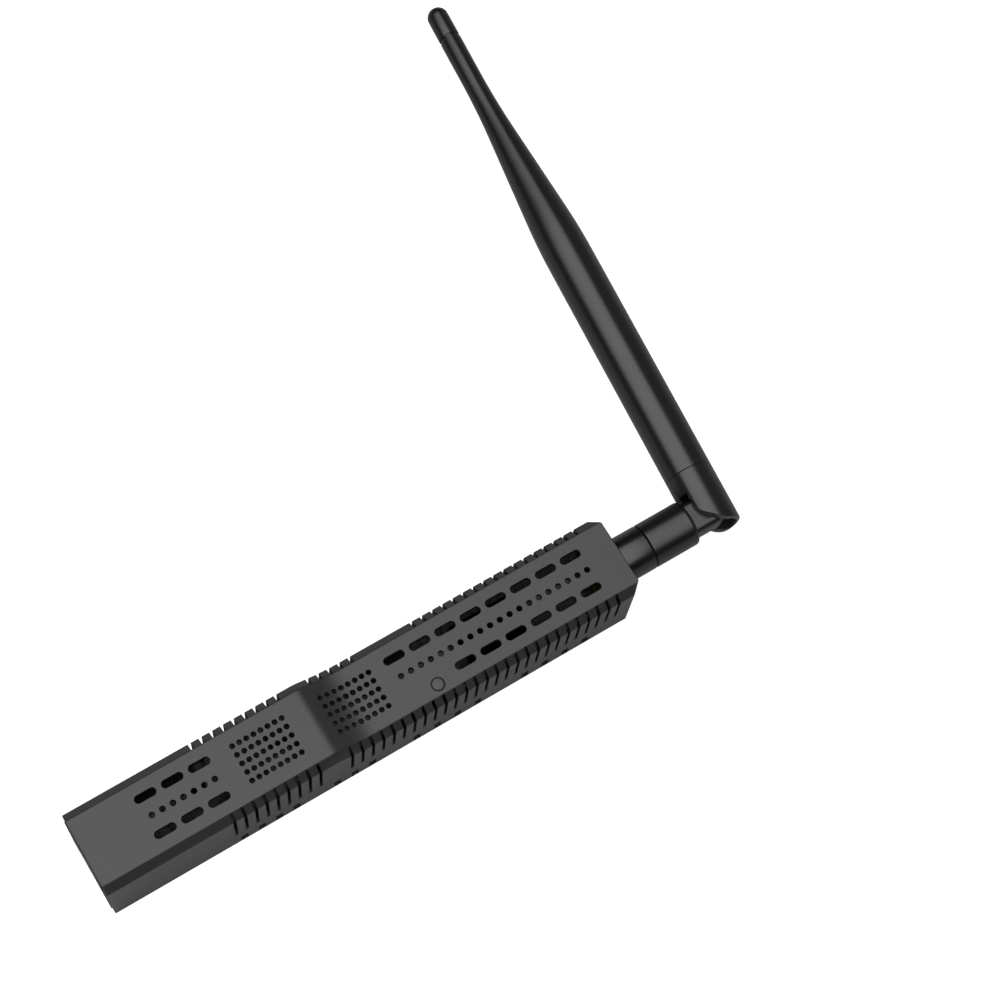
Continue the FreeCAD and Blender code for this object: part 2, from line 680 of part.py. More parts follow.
def make_switch_plunger():
    """Plunger that the button pushes into the switch."""
    top = BOARD_TOP + SWITCH_HEIGHT
    return upright(BUTTON_X, BUTTON_Y, PLUNGER_RADIUS, top - PLUNGER_DEPTH, top + PLUNGER_RISE)


def make_button_cap():
    """Round push-button with a retaining flange under the cover and a stem."""
    foot = BOARD_TOP + SWITCH_HEIGHT + PLUNGER_RISE
    ceiling = REAR_HEIGHT - WALL - SEAT_GAP
    head = upright(BUTTON_X, BUTTON_Y, BUTTON_RADIUS, ceiling, REAR_HEIGHT - BUTTON_SETBACK)
    rim = [e for e in head.Edges if e.BoundBox.ZMin > REAR_HEIGHT - BUTTON_SETBACK - TRIFLE]
    head = head.makeChamfer(BUTTON_SETBACK * 2, rim)
    flange = upright(BUTTON_X, BUTTON_Y, FLANGE_RADIUS, ceiling - FLANGE_THICKNESS, ceiling)
    stem = upright(BUTTON_X, BUTTON_Y, STEM_RADIUS, foot, ceiling)
    return head.fuse([flange, stem]).removeSplitter()


def make_antenna_jack():
    """Threaded edge jack: square flange, thread and four board legs."""
    half = JACK_FLANGE_SIZE / 2
    body = box(JACK_BACK, INNER_END, -half, half, AXIS_HEIGHT - half, AXIS_HEIGHT + half)
    body = body.fuse(along_x(THREAD_RADIUS, INNER_END, JACK_FRONT))
    legs = []
    for side in (-1, 1):
        y0 = side * LEG_Y - LEG_SIZE / 2
        for z0 in (BOARD_TOP, BOARD_BOTTOM - LEG_SIZE):
            legs.append(box(JACK_BACK - LEG_LENGTH, JACK_BACK, y0, y0 + LEG_SIZE, z0, z0 + LEG_SIZE))
    body = body.fuse(legs).removeSplitter()
    bore = along_x(JACK_BORE_RADIUS, JACK_FRONT - JACK_BORE_DEPTH, JACK_FRONT + OVERRUN)
    return body.cut([bore, along_x(JACK_INSULATOR_RADIUS, JACK_BACK - OVERRUN, JACK_FRONT)])


def make_jack_insulator():
    """White insulator that centres the jack's contact."""
    return ring_x(JACK_INSULATOR_RADIUS - RUNNING_GAP, CONTACT_RADIUS + RUNNING_GAP,
                  JACK_BACK, JACK_FRONT - JACK_BORE_DEPTH)


def make_jack_contact():
    """Centre contact: a tail on the board and a socket for the plug's pin."""
    front = JACK_FRONT - CONTACT_SETBACK
    contact = along_x(CONTACT_RADIUS, JACK_BACK - CONTACT_TAIL, front)
    return contact.cut(along_x(CONTACT_BORE_RADIUS, front - PIN_REACH, front + OVERRUN))


def make_coupling_nut():
    """Smooth round nut, tightened on the jack, that traps the plug's flange."""
    bore = THREAD_RADIUS + NUT_THREAD_GAP
    outline = [(NUT_START, bore), (NUT_START, NUT_RADIUS - NUT_EDGE),
               (NUT_START + NUT_EDGE, NUT_RADIUS), (NUT_END - NUT_EDGE, NUT_RADIUS),
               (NUT_END, NUT_RADIUS - NUT_EDGE), (NUT_END, JACK_BORE_RADIUS),
               (WEB_START, JACK_BORE_RADIUS), (WEB_START, bore)]
    return turned_x(outline)


def make_plug_ferrule():
    """Plug sleeve: nose in the jack, trapped flange, and tail in the barrel."""
    nose = JACK_BORE_RADIUS - FERRULE_GAP
    tail = JACK_BORE_RADIUS - SPIN_GAP
    flange_start = JACK_FRONT + FERRULE_GAP
    nose_start = JACK_FRONT - FERRULE_NOSE
    neck = CLIP_INNER_RADIUS - CLIP_GAP
    groove = CLIP_THICKNESS / 2 + CLIP_GAP
    outline = [(nose_start, FERRULE_BORE_RADIUS), (nose_start, nose), (flange_start, nose),
               (flange_start, FERRULE_FLANGE_RADIUS), (WEB_START - FERRULE_GAP, FERRULE_FLANGE_RADIUS),
               (WEB_START - FERRULE_GAP, tail), (CLIP_X - groove, tail), (CLIP_X - groove, neck),
               (CLIP_X + groove, neck), (CLIP_X + groove, tail), (FERRULE_END, tail),
               (FERRULE_END, FERRULE_BORE_RADIUS)]
    return turned_x(outline)


def make_plug_insulator():
    """Insulator between the plug's sleeve and its pin."""
    return ring_x(FERRULE_BORE_RADIUS - RUNNING_GAP, PIN_RADIUS + RUNNING_GAP,
                  JACK_FRONT, FERRULE_END)


def make_plug_pin():
    """Pin that enters the jack's centre contact."""
    return along_x(PIN_RADIUS, JACK_FRONT + CONTACT_SETBACK - PIN_REACH, FERRULE_END)


def swivelled(shape):
    """Turn a shape with the antenna, about the jack's axis."""
    turned = shape.copy()
    turned.rotate(Vector(0, 0, AXIS_HEIGHT), Vector(1, 0, 0), -math.degrees(REST_TILT))
    return turned


def make_swivel_clip():
    """Open spring ring that keeps the barrel on the plug's tail."""
    half = CLIP_THICKNESS / 2
    ring = ring_x(CLIP_OUTER_RADIUS, CLIP_INNER_RADIUS, CLIP_X - half, CLIP_X + half)
    gap = box(CLIP_X - OVERRUN, CLIP_X + OVERRUN, -CLIP_OPENING / 2, CLIP_OPENING / 2,
              AXIS_HEIGHT, AXIS_HEIGHT + BARREL_RADIUS)
    return swivelled(ring.cut(gap))


def make_swivel_barrel():
    """Barrel that turns on the plug, with the hinge tongue and its studs."""
    clip_half = CLIP_THICKNESS / 2 + CLIP_GAP
    clip_bore = CLIP_OUTER_RADIUS + CLIP_GAP
    bore_end = FERRULE_END + SEAT_GAP
    lead_bore = LEAD_RADIUS + LEAD_GAP
    lead_end = BARREL_END - BARREL_END_WALL
    outline = [(BARREL_START, JACK_BORE_RADIUS), (BARREL_START, BARREL_RADIUS - NUT_EDGE),
               (BARREL_START + NUT_EDGE, BARREL_RADIUS), (BARREL_END - BARREL_EDGE, BARREL_RADIUS),
               (BARREL_END, BARREL_RADIUS - BARREL_EDGE), (BARREL_END, 0), (lead_end, 0),
               (lead_end, lead_bore), (bore_end, lead_bore), (bore_end, JACK_BORE_RADIUS),
               (CLIP_X + clip_half, JACK_BORE_RADIUS), (CLIP_X + clip_half, clip_bore),
               (CLIP_X - clip_half, clip_bore), (CLIP_X - clip_half, JACK_BORE_RADIUS)]
    barrel = turned_x(outline)
    half = HINGE_TONGUE_THICKNESS / 2
    low = AXIS_HEIGHT - half
    high = AXIS_HEIGHT + half
    tongue = box(BARREL_END - BARREL_EDGE, PIVOT_X, -HINGE_TONGUE_RADIUS, HINGE_TONGUE_RADIUS,
                 low, high)
    tongue = tongue.fuse(upright(PIVOT_X, 0, HINGE_TONGUE_RADIUS, low, high)).removeSplitter()
    rounding = along_x(TONGUE_ROUNDING, BARREL_START, PIVOT_X)
    rounding = rounding.fuse(Part.makeSphere(TONGUE_ROUNDING, Vector(PIVOT_X, 0, AXIS_HEIGHT)))
    tongue = tongue.common(rounding).removeSplitter()
    stud = upright(PIVOT_X, 0, STUD_RADIUS, low - STUD_HEIGHT, high + STUD_HEIGHT)
    barrel = barrel.fuse([tongue, stud]).removeSplitter()
    slot = LEAD_SLOT_WIDTH / 2
    passage = box(lead_end - SEAT_GAP, PIVOT_X + BARREL_LENGTH, -lead_bore, BARREL_RADIUS + OVERRUN,
                  AXIS_HEIGHT - slot, AXIS_HEIGHT + slot)
    open_side = box(BARREL_START, BARREL_END, lead_bore, BARREL_RADIUS + OVERRUN,
                    AXIS_HEIGHT - slot, AXIS_HEIGHT + slot)
    return swivelled(barrel.cut(passage.cut(open_side)))


def make_plug_lead():
    """Coaxial lead inside the barrel, from the plug's pin to the hinge."""
    return swivelled(along_x(LEAD_RADIUS, FERRULE_END + SEAT_GAP, BARREL_END - SEAT_GAP))


def rod_to_case(shape):
    """Carry a shape from the rod's own frame to its place on the case.

    In the rod's frame Z runs from the hinge to the tip and X points to the open side.
    """
    sine = math.sin(LEAN)
    cosine = math.cos(LEAN)
    matrix = Matrix(-cosine, 0, sine, 0, sine, 0, cosine, 0, 0, 1, 0, 0, 0, 0, 0, 1)
    placed = shape.transformShape(matrix, True)
    placed.translate(Vector(PIVOT_X, 0, AXIS_HEIGHT))
    return swivelled(placed)


def rod_cylinder(radius, start, end):
    """Cylinder along the rod."""
    return Part.makeCylinder(radius, end - start, Vector(0, 0, start), Vector(0, 0, 1))


def turned_rod(edges):
    """Solid turned about the rod's axis from a closed chain of edges."""
    return Part.Face(Part.Wire(edges)).revolve(Vector(0, 0, 0), Vector(0, 0, 1), 360)


def rod_lines(points):
    """Straight edges through points of (radius, distance from the hinge)."""
    corners = [Vector(r, 0, s) for r, s in points]
    return [Part.makeLine(a, b) for a, b in zip(corners, corners[1:])]


def cheek_cutter():
    """Cutter for the open side below the mouth: a flat, then a slant with blended corners."""
    far = ROD_RADIUS + OVERRUN
    slant = [Vector(CHEEK_FLAT, -far, MOUTH_TOP), Vector(CHEEK_FLAT, -far, -CHEEK_CORNER),
             Vector(-CHEEK_TOE, -far, -FORK_END), Vector(-far, -far, -FORK_END)]
    edges = blended(slant, (CHEEK_CORNER_BLEND, CHEEK_TOE_BLEND))
    rest = [slant[-1], Vector(-far, -far, -FORK_END - OVERRUN),
            Vector(far, -far, -FORK_END - OVERRUN), Vector(far, -far, MOUTH_TOP), slant[0]]
    edges += [Part.makeLine(a, b) for a, b in zip(rest, rest[1:])]
    return Part.Face(Part.Wire(edges)).extrude(Vector(0, 2 * far, 0))


def make_antenna_fork():
    """Hollow foot of the rod: two slanted cheeks that straddle the tongue, open on one side."""
    body = rod_cylinder(ROD_RADIUS, -FORK_END, FORK_SEAM)
    toe = [e for e in body.Edges if e.BoundBox.ZMax < TRIFLE - FORK_END]
    body = body.makeFillet(FORK_END_ROUNDING, toe)
    body = body.fuse(rod_cylinder(SPIGOT_RADIUS, FORK_SEAM, SPIGOT_END)).removeSplitter()
    half = FORK_SLOT / 2
    bottom = -FORK_END - OVERRUN
    roof = HINGE_TONGUE_RADIUS + FORK_ROOF_GAP
    slab = box(-ROD_RADIUS, ROD_RADIUS, -half, half, bottom, roof)
    cavity = slab.common(rod_cylinder(ROD_RADIUS - FORK_WALL, bottom, roof))
    mouth = box(0, ROD_RADIUS + OVERRUN, -half, half, bottom, MOUTH_TOP)
    reach = HINGE_TONGUE_THICKNESS / 2 + STUD_HEIGHT + LEAD_GAP
    seat = Part.makeCylinder(STUD_RADIUS + SPIN_GAP, 2 * reach, Vector(0, -reach, 0), Vector(0, 1, 0))
    lead_hole = rod_cylinder(LEAD_RADIUS + LEAD_GAP, 0, SPIGOT_END + OVERRUN)
    tube_seat = rod_cylinder(TUBE_RADIUS + RUNNING_GAP, SPIGOT_END - TUBE_SEAT, SPIGOT_END + OVERRUN)
    return rod_to_case(body.cut([cavity, mouth, cheek_cutter(), seat, lead_hole, tube_seat]))


def make_antenna_sleeve():
    """Long hollow sleeve, even at first and then drawn in to a thin neck."""
    skin = [(ROD_RADIUS, FORK_SEAM), (ROD_RADIUS, TAPER_SHOULDER),
            (THIN_RADIUS, TAPER_NECK), (THIN_RADIUS, SLEEVE_END)]
    taper = blended([Vector(r, 0, s) for r, s in skin], (SHOULDER_BLEND, NECK_BLEND))
    socket = SPIGOT_RADIUS + RUNNING_GAP
    cap_socket = CAP_SPIGOT_RADIUS + RUNNING_GAP
    inside = [(THIN_RADIUS, SLEEVE_END), (cap_socket, SLEEVE_END),
              (cap_socket, CAP_SPIGOT_START), (SLEEVE_THIN_BORE_RADIUS, CAP_SPIGOT_START),
              (SLEEVE_THIN_BORE_RADIUS, BORE_TAPER_END), (SLEEVE_BORE_RADIUS, BORE_TAPER_START),
              (SLEEVE_BORE_RADIUS, SPIGOT_END), (socket, SPIGOT_END), (socket, FORK_SEAM),
              (ROD_RADIUS, FORK_SEAM)]
    return rod_to_case(turned_rod(taper + rod_lines(inside)))


def make_tip_cap():
    """Rounded end cap with a groove at its seam and a spigot in the sleeve."""
    dome = Part.Arc(Vector(THIN_RADIUS, 0, CAP_CENTRE),
                    Vector(THIN_RADIUS * math.sqrt(0.5), 0, CAP_CENTRE + THIN_RADIUS * math.sqrt(0.5)),
                    Vector(0, 0, CAP_END))
    hole = WHIP_RADIUS + RUNNING_GAP
    rest = [(0, CAP_END), (0, CAP_SPIGOT_START + WHIP_SEAT), (hole, CAP_SPIGOT_START + WHIP_SEAT),
            (hole, CAP_SPIGOT_START), (CAP_SPIGOT_RADIUS, CAP_SPIGOT_START),
            (CAP_SPIGOT_RADIUS, SLEEVE_END), (CAP_GROOVE_RADIUS, SLEEVE_END),
            (CAP_GROOVE_RADIUS, CAP_START), (THIN_RADIUS, CAP_START), (THIN_RADIUS, CAP_CENTRE)]
    return rod_to_case(turned_rod([dome.toShape()] + rod_lines(rest)))


def make_radiator_tube():
    """Brass tube that is the lower half of the radiator."""
    tube = rod_cylinder(TUBE_RADIUS, SPIGOT_END - TUBE_SEAT, TUBE_END)
    return rod_to_case(tube.cut(rod_cylinder(TUBE_RADIUS - TUBE_WALL, 0, TUBE_END + OVERRUN)))


def make_radiator_lead():
    """Coaxial lead inside the rod, from the hinge to the insulating bead."""
    return rod_to_case(rod_cylinder(LEAD_RADIUS, HINGE_TONGUE_RADIUS + FORK_ROOF_GAP,
                                    TUBE_END - BEAD_LENGTH))


def make_whip_bead():
    """Insulating bead that holds the whip in the tube's mouth."""
    bead = rod_cylinder(TUBE_RADIUS - TUBE_WALL - RUNNING_GAP, TUBE_END - BEAD_LENGTH, TUBE_END)
    return rod_to_case(bead.cut(rod_cylinder(WHIP_RADIUS + RUNNING_GAP, 0, TUBE_END + OVERRUN)))


def make_radiator_whip():
    """Straight wire that is the upper half of the radiator."""
    return rod_to_case(rod_cylinder(WHIP_RADIUS, TUBE_END - BEAD_LENGTH,
                                    CAP_SPIGOT_START + WHIP_SEAT - SEAT_GAP))


PIECES = {
    "top_cover": make_top_cover,
    "bottom_plate": make_bottom_plate,
    "case_screws": make_case_screws,
    "end_plate": make_end_plate,
    "circuit_board": make_circuit_board,
    "usb_socket_shell": make_usb_socket_shell,
    "usb_socket_core": make_usb_socket_core,
    "usb_bridge_chip": lambda: package(*BRIDGE_CHIP),
    "memory_chip": make_memory_chip,
    "voltage_regulator": make_voltage_regulator,
    "crystal": lambda: package(*CRYSTAL),
    "power_capacitors": make_power_capacitors,
    "chip_components": make_chip_components,
    "radio_module_board": make_radio_module_board,
    "shield_can": make_shield_can,
    "status_led": make_status_led,
    "switch_body": make_switch_body,
    "switch_plunger": make_switch_plunger,
    "button_cap": make_button_cap,
    "antenna_jack": make_antenna_jack,
    "jack_insulator": make_jack_insulator,
    "jack_contact": make_jack_contact,
    "coupling_nut": make_coupling_nut,
    "plug_ferrule": make_plug_ferrule,
    "plug_insulator": make_plug_insulator,
    "plug_pin": make_plug_pin,
    "swivel_clip": make_swivel_clip,
    "swivel_barrel": make_swivel_barrel,
    "plug_lead": make_plug_lead,
    "antenna_fork": make_antenna_fork,
    "antenna_sleeve": make_antenna_sleeve,
    "tip_cap": make_tip_cap,
    "radiator_tube": make_radiator_tube,
    "radiator_lead": make_radiator_lead,
    "whip_bead": make_whip_bead,
    "radiator_whip": make_radiator_whip,
}

os.makedirs("parts", exist_ok=True)
for name, make in PIECES.items():
    piece = make()
    print(name, "valid" if piece.isValid() else "INVALID", len(piece.Solids), "solid",
          round(piece.Volume, 2), "mm3")
    piece.exportStep("parts/" + name + ".step")
print("hinge", round(PIVOT_X, 3), 0.0, AXIS_HEIGHT, "tilt", round(math.degrees(REST_TILT), 4))
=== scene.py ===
import json
import logging
import math
from dataclasses import dataclass
from enum import Enum

import bmesh
import bpy
from mathutils import Matrix, Vector


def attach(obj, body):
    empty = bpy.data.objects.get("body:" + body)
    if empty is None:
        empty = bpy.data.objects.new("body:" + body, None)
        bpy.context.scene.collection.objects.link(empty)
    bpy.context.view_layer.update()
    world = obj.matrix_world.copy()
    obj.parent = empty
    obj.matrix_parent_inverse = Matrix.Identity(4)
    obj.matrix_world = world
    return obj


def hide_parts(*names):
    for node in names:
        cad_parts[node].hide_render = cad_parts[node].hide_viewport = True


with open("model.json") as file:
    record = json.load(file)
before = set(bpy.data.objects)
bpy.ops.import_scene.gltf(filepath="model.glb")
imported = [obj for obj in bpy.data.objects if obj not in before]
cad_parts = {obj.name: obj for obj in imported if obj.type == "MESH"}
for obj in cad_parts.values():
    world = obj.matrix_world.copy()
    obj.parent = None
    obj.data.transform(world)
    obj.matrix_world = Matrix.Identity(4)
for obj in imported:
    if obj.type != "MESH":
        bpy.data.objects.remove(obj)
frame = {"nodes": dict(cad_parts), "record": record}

# Frame: X runs along the stick towards the antenna, Y across it, Z up, in metres.
# Sizes of the object are written in millimetres and turned to metres where a mesh
# is made; those of the stage are in metres, unless their name ends in mm.
MM = 0.001

log = logging.getLogger("radio_stick")
Point = tuple[float, float]
Triple = tuple[float, float, float]
Socket, Tree, Node = bpy.types.NodeSocket, bpy.types.NodeTree, bpy.types.Node
Material, Piece, Solid = bpy.types.Material, bpy.types.Object, bmesh.types.BMesh


class Body(Enum):
    """The four rigid bodies of the object."""

    HOUSING = "housing"
    BUTTON = "button"
    SWIVEL = "swivel"
    ANTENNA = "antenna"


class Cut(Enum):
    """How one shape meets another."""

    AWAY = "DIFFERENCE"
    JOIN = "UNION"
    SHARED = "INTERSECT"


class Axis(Enum):
    """Which way the turning lines or the drawing lines of a part run."""

    X = (1.0, 0.0, 0.0)
    Y = (0.0, 1.0, 0.0)
    Z = (0.0, 0.0, 1.0)


# Node helpers


def linear(hex_code: str) -> tuple[float, float, float, float]:
    """Turn an sRGB hex colour to a linear one.

    Args:
        hex_code: Colour such as "#282828".

    Returns:
        Red, green, blue and an alpha of 1.
    """
    channels = [int(hex_code[i:i + 2], 16) / 255 for i in (1, 3, 5)]
    values = [c / 12.92 if c <= 0.04045 else ((c + 0.055) / 1.055) ** 2.4 for c in channels]
    return (*values, 1.0)


def add_node(tree: Tree, kind: str, inputs: dict | None = None, **settings: object) -> Node:
    """Add a node with its settings, values and links.

    Args:
        tree: Tree that gets the node.
        kind: Node type.
        inputs: Socket name or number, with either a value or the socket that feeds it.
        **settings: Properties of the node itself.

    Returns:
        The new node.
    """
    node = tree.nodes.new(kind)
    for name, value in settings.items():
        setattr(node, name, value)
    for key, value in (inputs or {}).items():
        if isinstance(value, Socket):
            tree.links.new(value, node.inputs[key])
        else:
            node.inputs[key].default_value = value
    return node


def new_material(name: str) -> tuple[Material, Tree]:
    """Make an empty node material.

    Args:
        name: Name of the finish.

    Returns:
        The material and its node tree.
    """
    material = bpy.data.materials.new(name)
    material.use_nodes = True
    material.node_tree.nodes.clear()
    return material, material.node_tree


def close_material(tree: Tree, shader: Socket) -> None:
    """Join a shader to the material's output."""
    add_node(tree, "ShaderNodeOutputMaterial", {"Surface": shader})


def close_principled(tree: Tree, inputs: dict) -> None:
    """End a material with a Principled shader."""
    shader = add_node(tree, "ShaderNodeBsdfPrincipled", inputs)
    close_material(tree, shader.outputs["BSDF"])


def object_place(tree: Tree) -> Socket:
    """Give Object coordinates, in which a pattern keeps its real size."""
    return add_node(tree, "ShaderNodeTexCoord").outputs["Object"]


def noise(tree: Tree, place: Socket, scale: float, detail: float = 2.0,
          roughness: float = 0.5) -> Socket:
    """Give noise from 0 to 1; scale is features per metre."""
    return add_node(tree, "ShaderNodeTexNoise", {
        "Vector": place, "Scale": scale, "Detail": detail, "Roughness": roughness}).outputs["Fac"]


def spread(tree: Tree, value: Socket, low: float, high: float) -> Socket:
    """Map 0 to 1 onto a range."""
    return add_node(tree, "ShaderNodeMapRange", {
        "Value": value, "To Min": low, "To Max": high}).outputs["Result"]


def blend(tree: Tree, factor: Socket, first: tuple, second: tuple) -> Socket:
    """Mix two linear colours."""
    return add_node(tree, "ShaderNodeMix", {0: factor, 6: first, 7: second},
                    data_type="RGBA").outputs[2]


def relief(tree: Tree, height: Socket, depth_mm: float, strength: float = 1.0) -> Socket:
    """Give the normals of a relief of real depth."""
    return add_node(tree, "ShaderNodeBump", {
        "Height": height, "Distance": depth_mm * MM, "Strength": strength}).outputs["Normal"]


# Finishes

# Size of the slow drift in a moulded part's colour, in millimetres
CLOUD_MM = 14
# Size of the patches of tarnish on metal, in millimetres
TARNISH_MM = 3


@dataclass(frozen=True)
class MouldedPlastic:
    """Injection-moulded plastic with the matt grain of a spark-eroded mould."""

    name: str
    colour: str
    roughness: float
    grain_mm: float
    grain_depth_mm: float
    drift: float = 0.06
    ior: float = 1.5
    gloss_spread: float = 0.03

    def build(self) -> Material:
        """Make the material: fine grain in the relief, slow drift in colour and gloss."""
        material, tree = new_material(self.name)
        place = object_place(tree)
        grain = noise(tree, place, 1 / (self.grain_mm * MM), 3.0, 0.65)
        cloud = noise(tree, place, 1 / (CLOUD_MM * MM))
        shades = [(*(part * (1 + sign * self.drift) for part in linear(self.colour)[:3]), 1)
                  for sign in (-1, 1)]
        close_principled(tree, {
            "Base Color": blend(tree, cloud, *shades), "IOR": self.ior,
            "Roughness": spread(tree, grain, self.roughness - self.gloss_spread,
                                self.roughness + self.gloss_spread),
            "Normal": relief(tree, grain, self.grain_depth_mm)})
        return material


@dataclass(frozen=True)
class Metal:
    """Metal with fine tool or drawing lines across one axis."""

    name: str
    colour: str
    roughness: float
    lines_mm: float
    depth_mm: float
    axis: Axis = Axis.X
    gloss_spread: float = 0.06
    line_stretch: float = 40.0
    tarnished: Triple = (0.85, 0.82, 0.78)

    def build(self) -> Material:
        """Make the material: noise stretched round the axis gives the lines."""
        material, tree = new_material(self.name)
        place = object_place(tree)
        fine = 1 / (self.lines_mm * MM)
        stretch = [fine if part else fine / self.line_stretch for part in self.axis.value]
        mapped = add_node(tree, "ShaderNodeMapping", {"Vector": place, "Scale": stretch})
        lines = noise(tree, mapped.outputs["Vector"], 1.0, 4.0)
        colour = linear(self.colour)
        dull = (*(part * share for part, share in zip(colour, self.tarnished)), 1)
        tarnish = noise(tree, place, 1 / (TARNISH_MM * MM))
        close_principled(tree, {
            "Base Color": blend(tree, tarnish, dull, colour), "Metallic": 1.0,
            "Roughness": spread(tree, lines, self.roughness - self.gloss_spread,
                                self.roughness + self.gloss_spread),
            "Normal": relief(tree, lines, self.depth_mm)})
        return material


@dataclass(frozen=True)
class SolderMask:
    """Glass-fibre board under lacquer, with copper tracks showing through."""

    name: str
    colour: str
    track_colour: str
    track_mm: float
    patch_mm: float = 6.0
    wave_share: float = 0.31

    def build(self) -> Material:
        """Make the material: two sets of bands cross in patches, as tracks do."""
        material, tree = new_material(self.name)
        place = object_place(tree)
        bands = {"Vector": place, "Scale": self.wave_share / (self.track_mm * MM),
                 "Distortion": 0.0}
        along, across = (add_node(tree, "ShaderNodeTexWave", bands, bands_direction=way)
                         for way in ("Y", "X"))
        patch = add_node(tree, "ShaderNodeTexVoronoi", {
            "Vector": place, "Scale": 1 / (self.patch_mm * MM)}, distance="CHEBYCHEV")
        choice = add_node(tree, "ShaderNodeMath", {0: patch.outputs["Color"], 1: 0.5},
                          operation="GREATER_THAN")
        pattern = add_node(tree, "ShaderNodeMix", {
            0: choice.outputs[0], 2: along.outputs["Fac"], 3: across.outputs["Fac"]})
        track = add_node(tree, "ShaderNodeMapRange", {
            "Value": pattern.outputs[0], "From Min": 0.62, "From Max": 0.72}).outputs["Result"]
        close_principled(tree, {
            "Base Color": blend(tree, track, linear(self.colour), linear(self.track_colour)),
            "Roughness": 0.32, "Normal": relief(tree, track, 0.03, 0.6)})
        return material


@dataclass(frozen=True)
class ClearResin:
    """Cast clear resin of a lamp's lens, with a faint cloud in it."""

    name: str
    colour: str
    cloud_mm: float = 0.4

    def build(self) -> Material:
        """Make the material."""
        material, tree = new_material(self.name)
        cloud = noise(tree, object_place(tree), 1 / (self.cloud_mm * MM))
        close_principled(tree, {
            "Base Color": linear(self.colour), "Roughness": spread(tree, cloud, 0.1, 0.3),
            "Transmission Weight": 0.6, "IOR": 1.53})
        return material


# Matt dark grey coat over ABS from a spark-eroded mould: a soft sheen where it faces the lamp
CASE_ABS = MouldedPlastic("coated_abs", "#272727", 0.36, 0.22, 0.012)
# Painted shade: the same ABS made near black inside the case, in its openings and in the groove by
# the port, so that the vents look deep
INSIDE_SHADE_ABS = MouldedPlastic("bare_abs", "#090909", 0.5, 0.22, 0.01)
# The button and the plate round the port are the same kind of plastic, a little smoother
BUTTON_ABS = MouldedPlastic("button_abs", "#2b2b2b", 0.36, 0.2, 0.008)
PORT_ABS = MouldedPlastic("port_plate_abs", "#0b0b0b", 0.45, 0.2, 0.008)
# Nylon hinge parts of the antenna: satin black
ANTENNA_NYLON = MouldedPlastic("antenna_nylon", "#0d0d0d", 0.31, 0.18, 0.005, ior=1.6)
# Thermoplastic rubber over the rod: satin black with a soft, broad highlight
ANTENNA_RUBBER = MouldedPlastic("thermoplastic_rubber", "#0c0c0c", 0.31, 0.2, 0.005, ior=1.6)
# Black chromed brass nut: smooth, a little glossier than the plastic
BLACK_CHROME = MouldedPlastic("black_coated_brass", "#0d0d0e", 0.28, 0.25, 0.003, ior=1.6)
CHIP_EPOXY = MouldedPlastic("chip_epoxy", "#161616", 0.55, 0.08, 0.006)
TANTALUM_EPOXY = MouldedPlastic("capacitor_epoxy", "#2c1d0c", 0.5, 0.1, 0.005)
FIRED_CERAMIC = MouldedPlastic("fired_ceramic", "#2b2622", 0.5, 0.1, 0.005)
PTFE = MouldedPlastic("ptfe", "#e4e2da", 0.45, 0.4, 0.004)
LEAD_FEP = MouldedPlastic("lead_fep_jacket", "#4b4338", 0.3, 0.6, 0.004)
ZINC_STEEL = Metal("zinc_plated_steel", "#b9bcc0", 0.34, 0.06, 0.004, Axis.Z)
TINNED_STEEL = Metal("tinned_steel", "#c9cacb", 0.28, 0.12, 0.003, Axis.Y)
# Painted shade: shield can and crystal are made near black in place of their steel, since the
# photographed vents show only black below them
SHADE_BLACK_STEEL = Metal("blackened_steel", "#080809", 0.5, 0.12, 0.003, Axis.Y)
GOLD_FLASH = Metal("gold_flashed_brass", "#e0b25a", 0.24, 0.08, 0.003)
DRAWN_BRASS = Metal("drawn_brass", "#c99a4b", 0.3, 0.1, 0.004)
# Board and track colours are dark green lacquer, taken down to near black as painted shade of the
# case's closed inside
BOARD_FR4 = SolderMask("board_under_lacquer", "#050f0a", "#0a1c12", 0.35)
LAMP_RESIN = ClearResin("lamp_resin", "#dfe6dc")
Finish = MouldedPlastic | Metal | SolderMask | ClearResin

# Frames of the antenna's parts, from the joints of the record
JOINTS = {joint["name"]: joint for joint in frame["record"]["behaviour"]["joints"]}
ELBOW = JOINTS["antenna_elbow"]
PIVOT = Vector(ELBOW["pos_m"])
AXIS_Z = PIVOT.z
TILT = math.atan2(ELBOW["axis"][1], ELBOW["axis"][2])
LEAN = math.radians(ELBOW["range_deg"][1])
# Local Z runs along the jack, from the port end to the antenna
JACK = Matrix(((0, 0, 1, 0), (1, 0, 0, 0), (0, 1, 0, AXIS_Z), (0, 0, 0, 1)))
SWIVEL = (Matrix.Translation((0, 0, AXIS_Z)) @ Matrix.Rotation(-TILT, 4, "X")
          @ Matrix.Translation((0, 0, -AXIS_Z)))
# Local Z is the elbow's axis
HINGE = SWIVEL @ Matrix.Translation(PIVOT)
# Local Z runs up the rod, and local X points to the fork's open side
ROD = HINGE @ Matrix(((-math.cos(LEAN), 0, math.sin(LEAN), 0),
                      (math.sin(LEAN), 0, math.cos(LEAN), 0), (0, 1, 0, 0), (0, 0, 0, 1)))


# Mesh helpers


def finish_of(finish: Finish) -> Material:
    """Give a finish's material, built once."""
    return bpy.data.materials.get(finish.name) or finish.build()


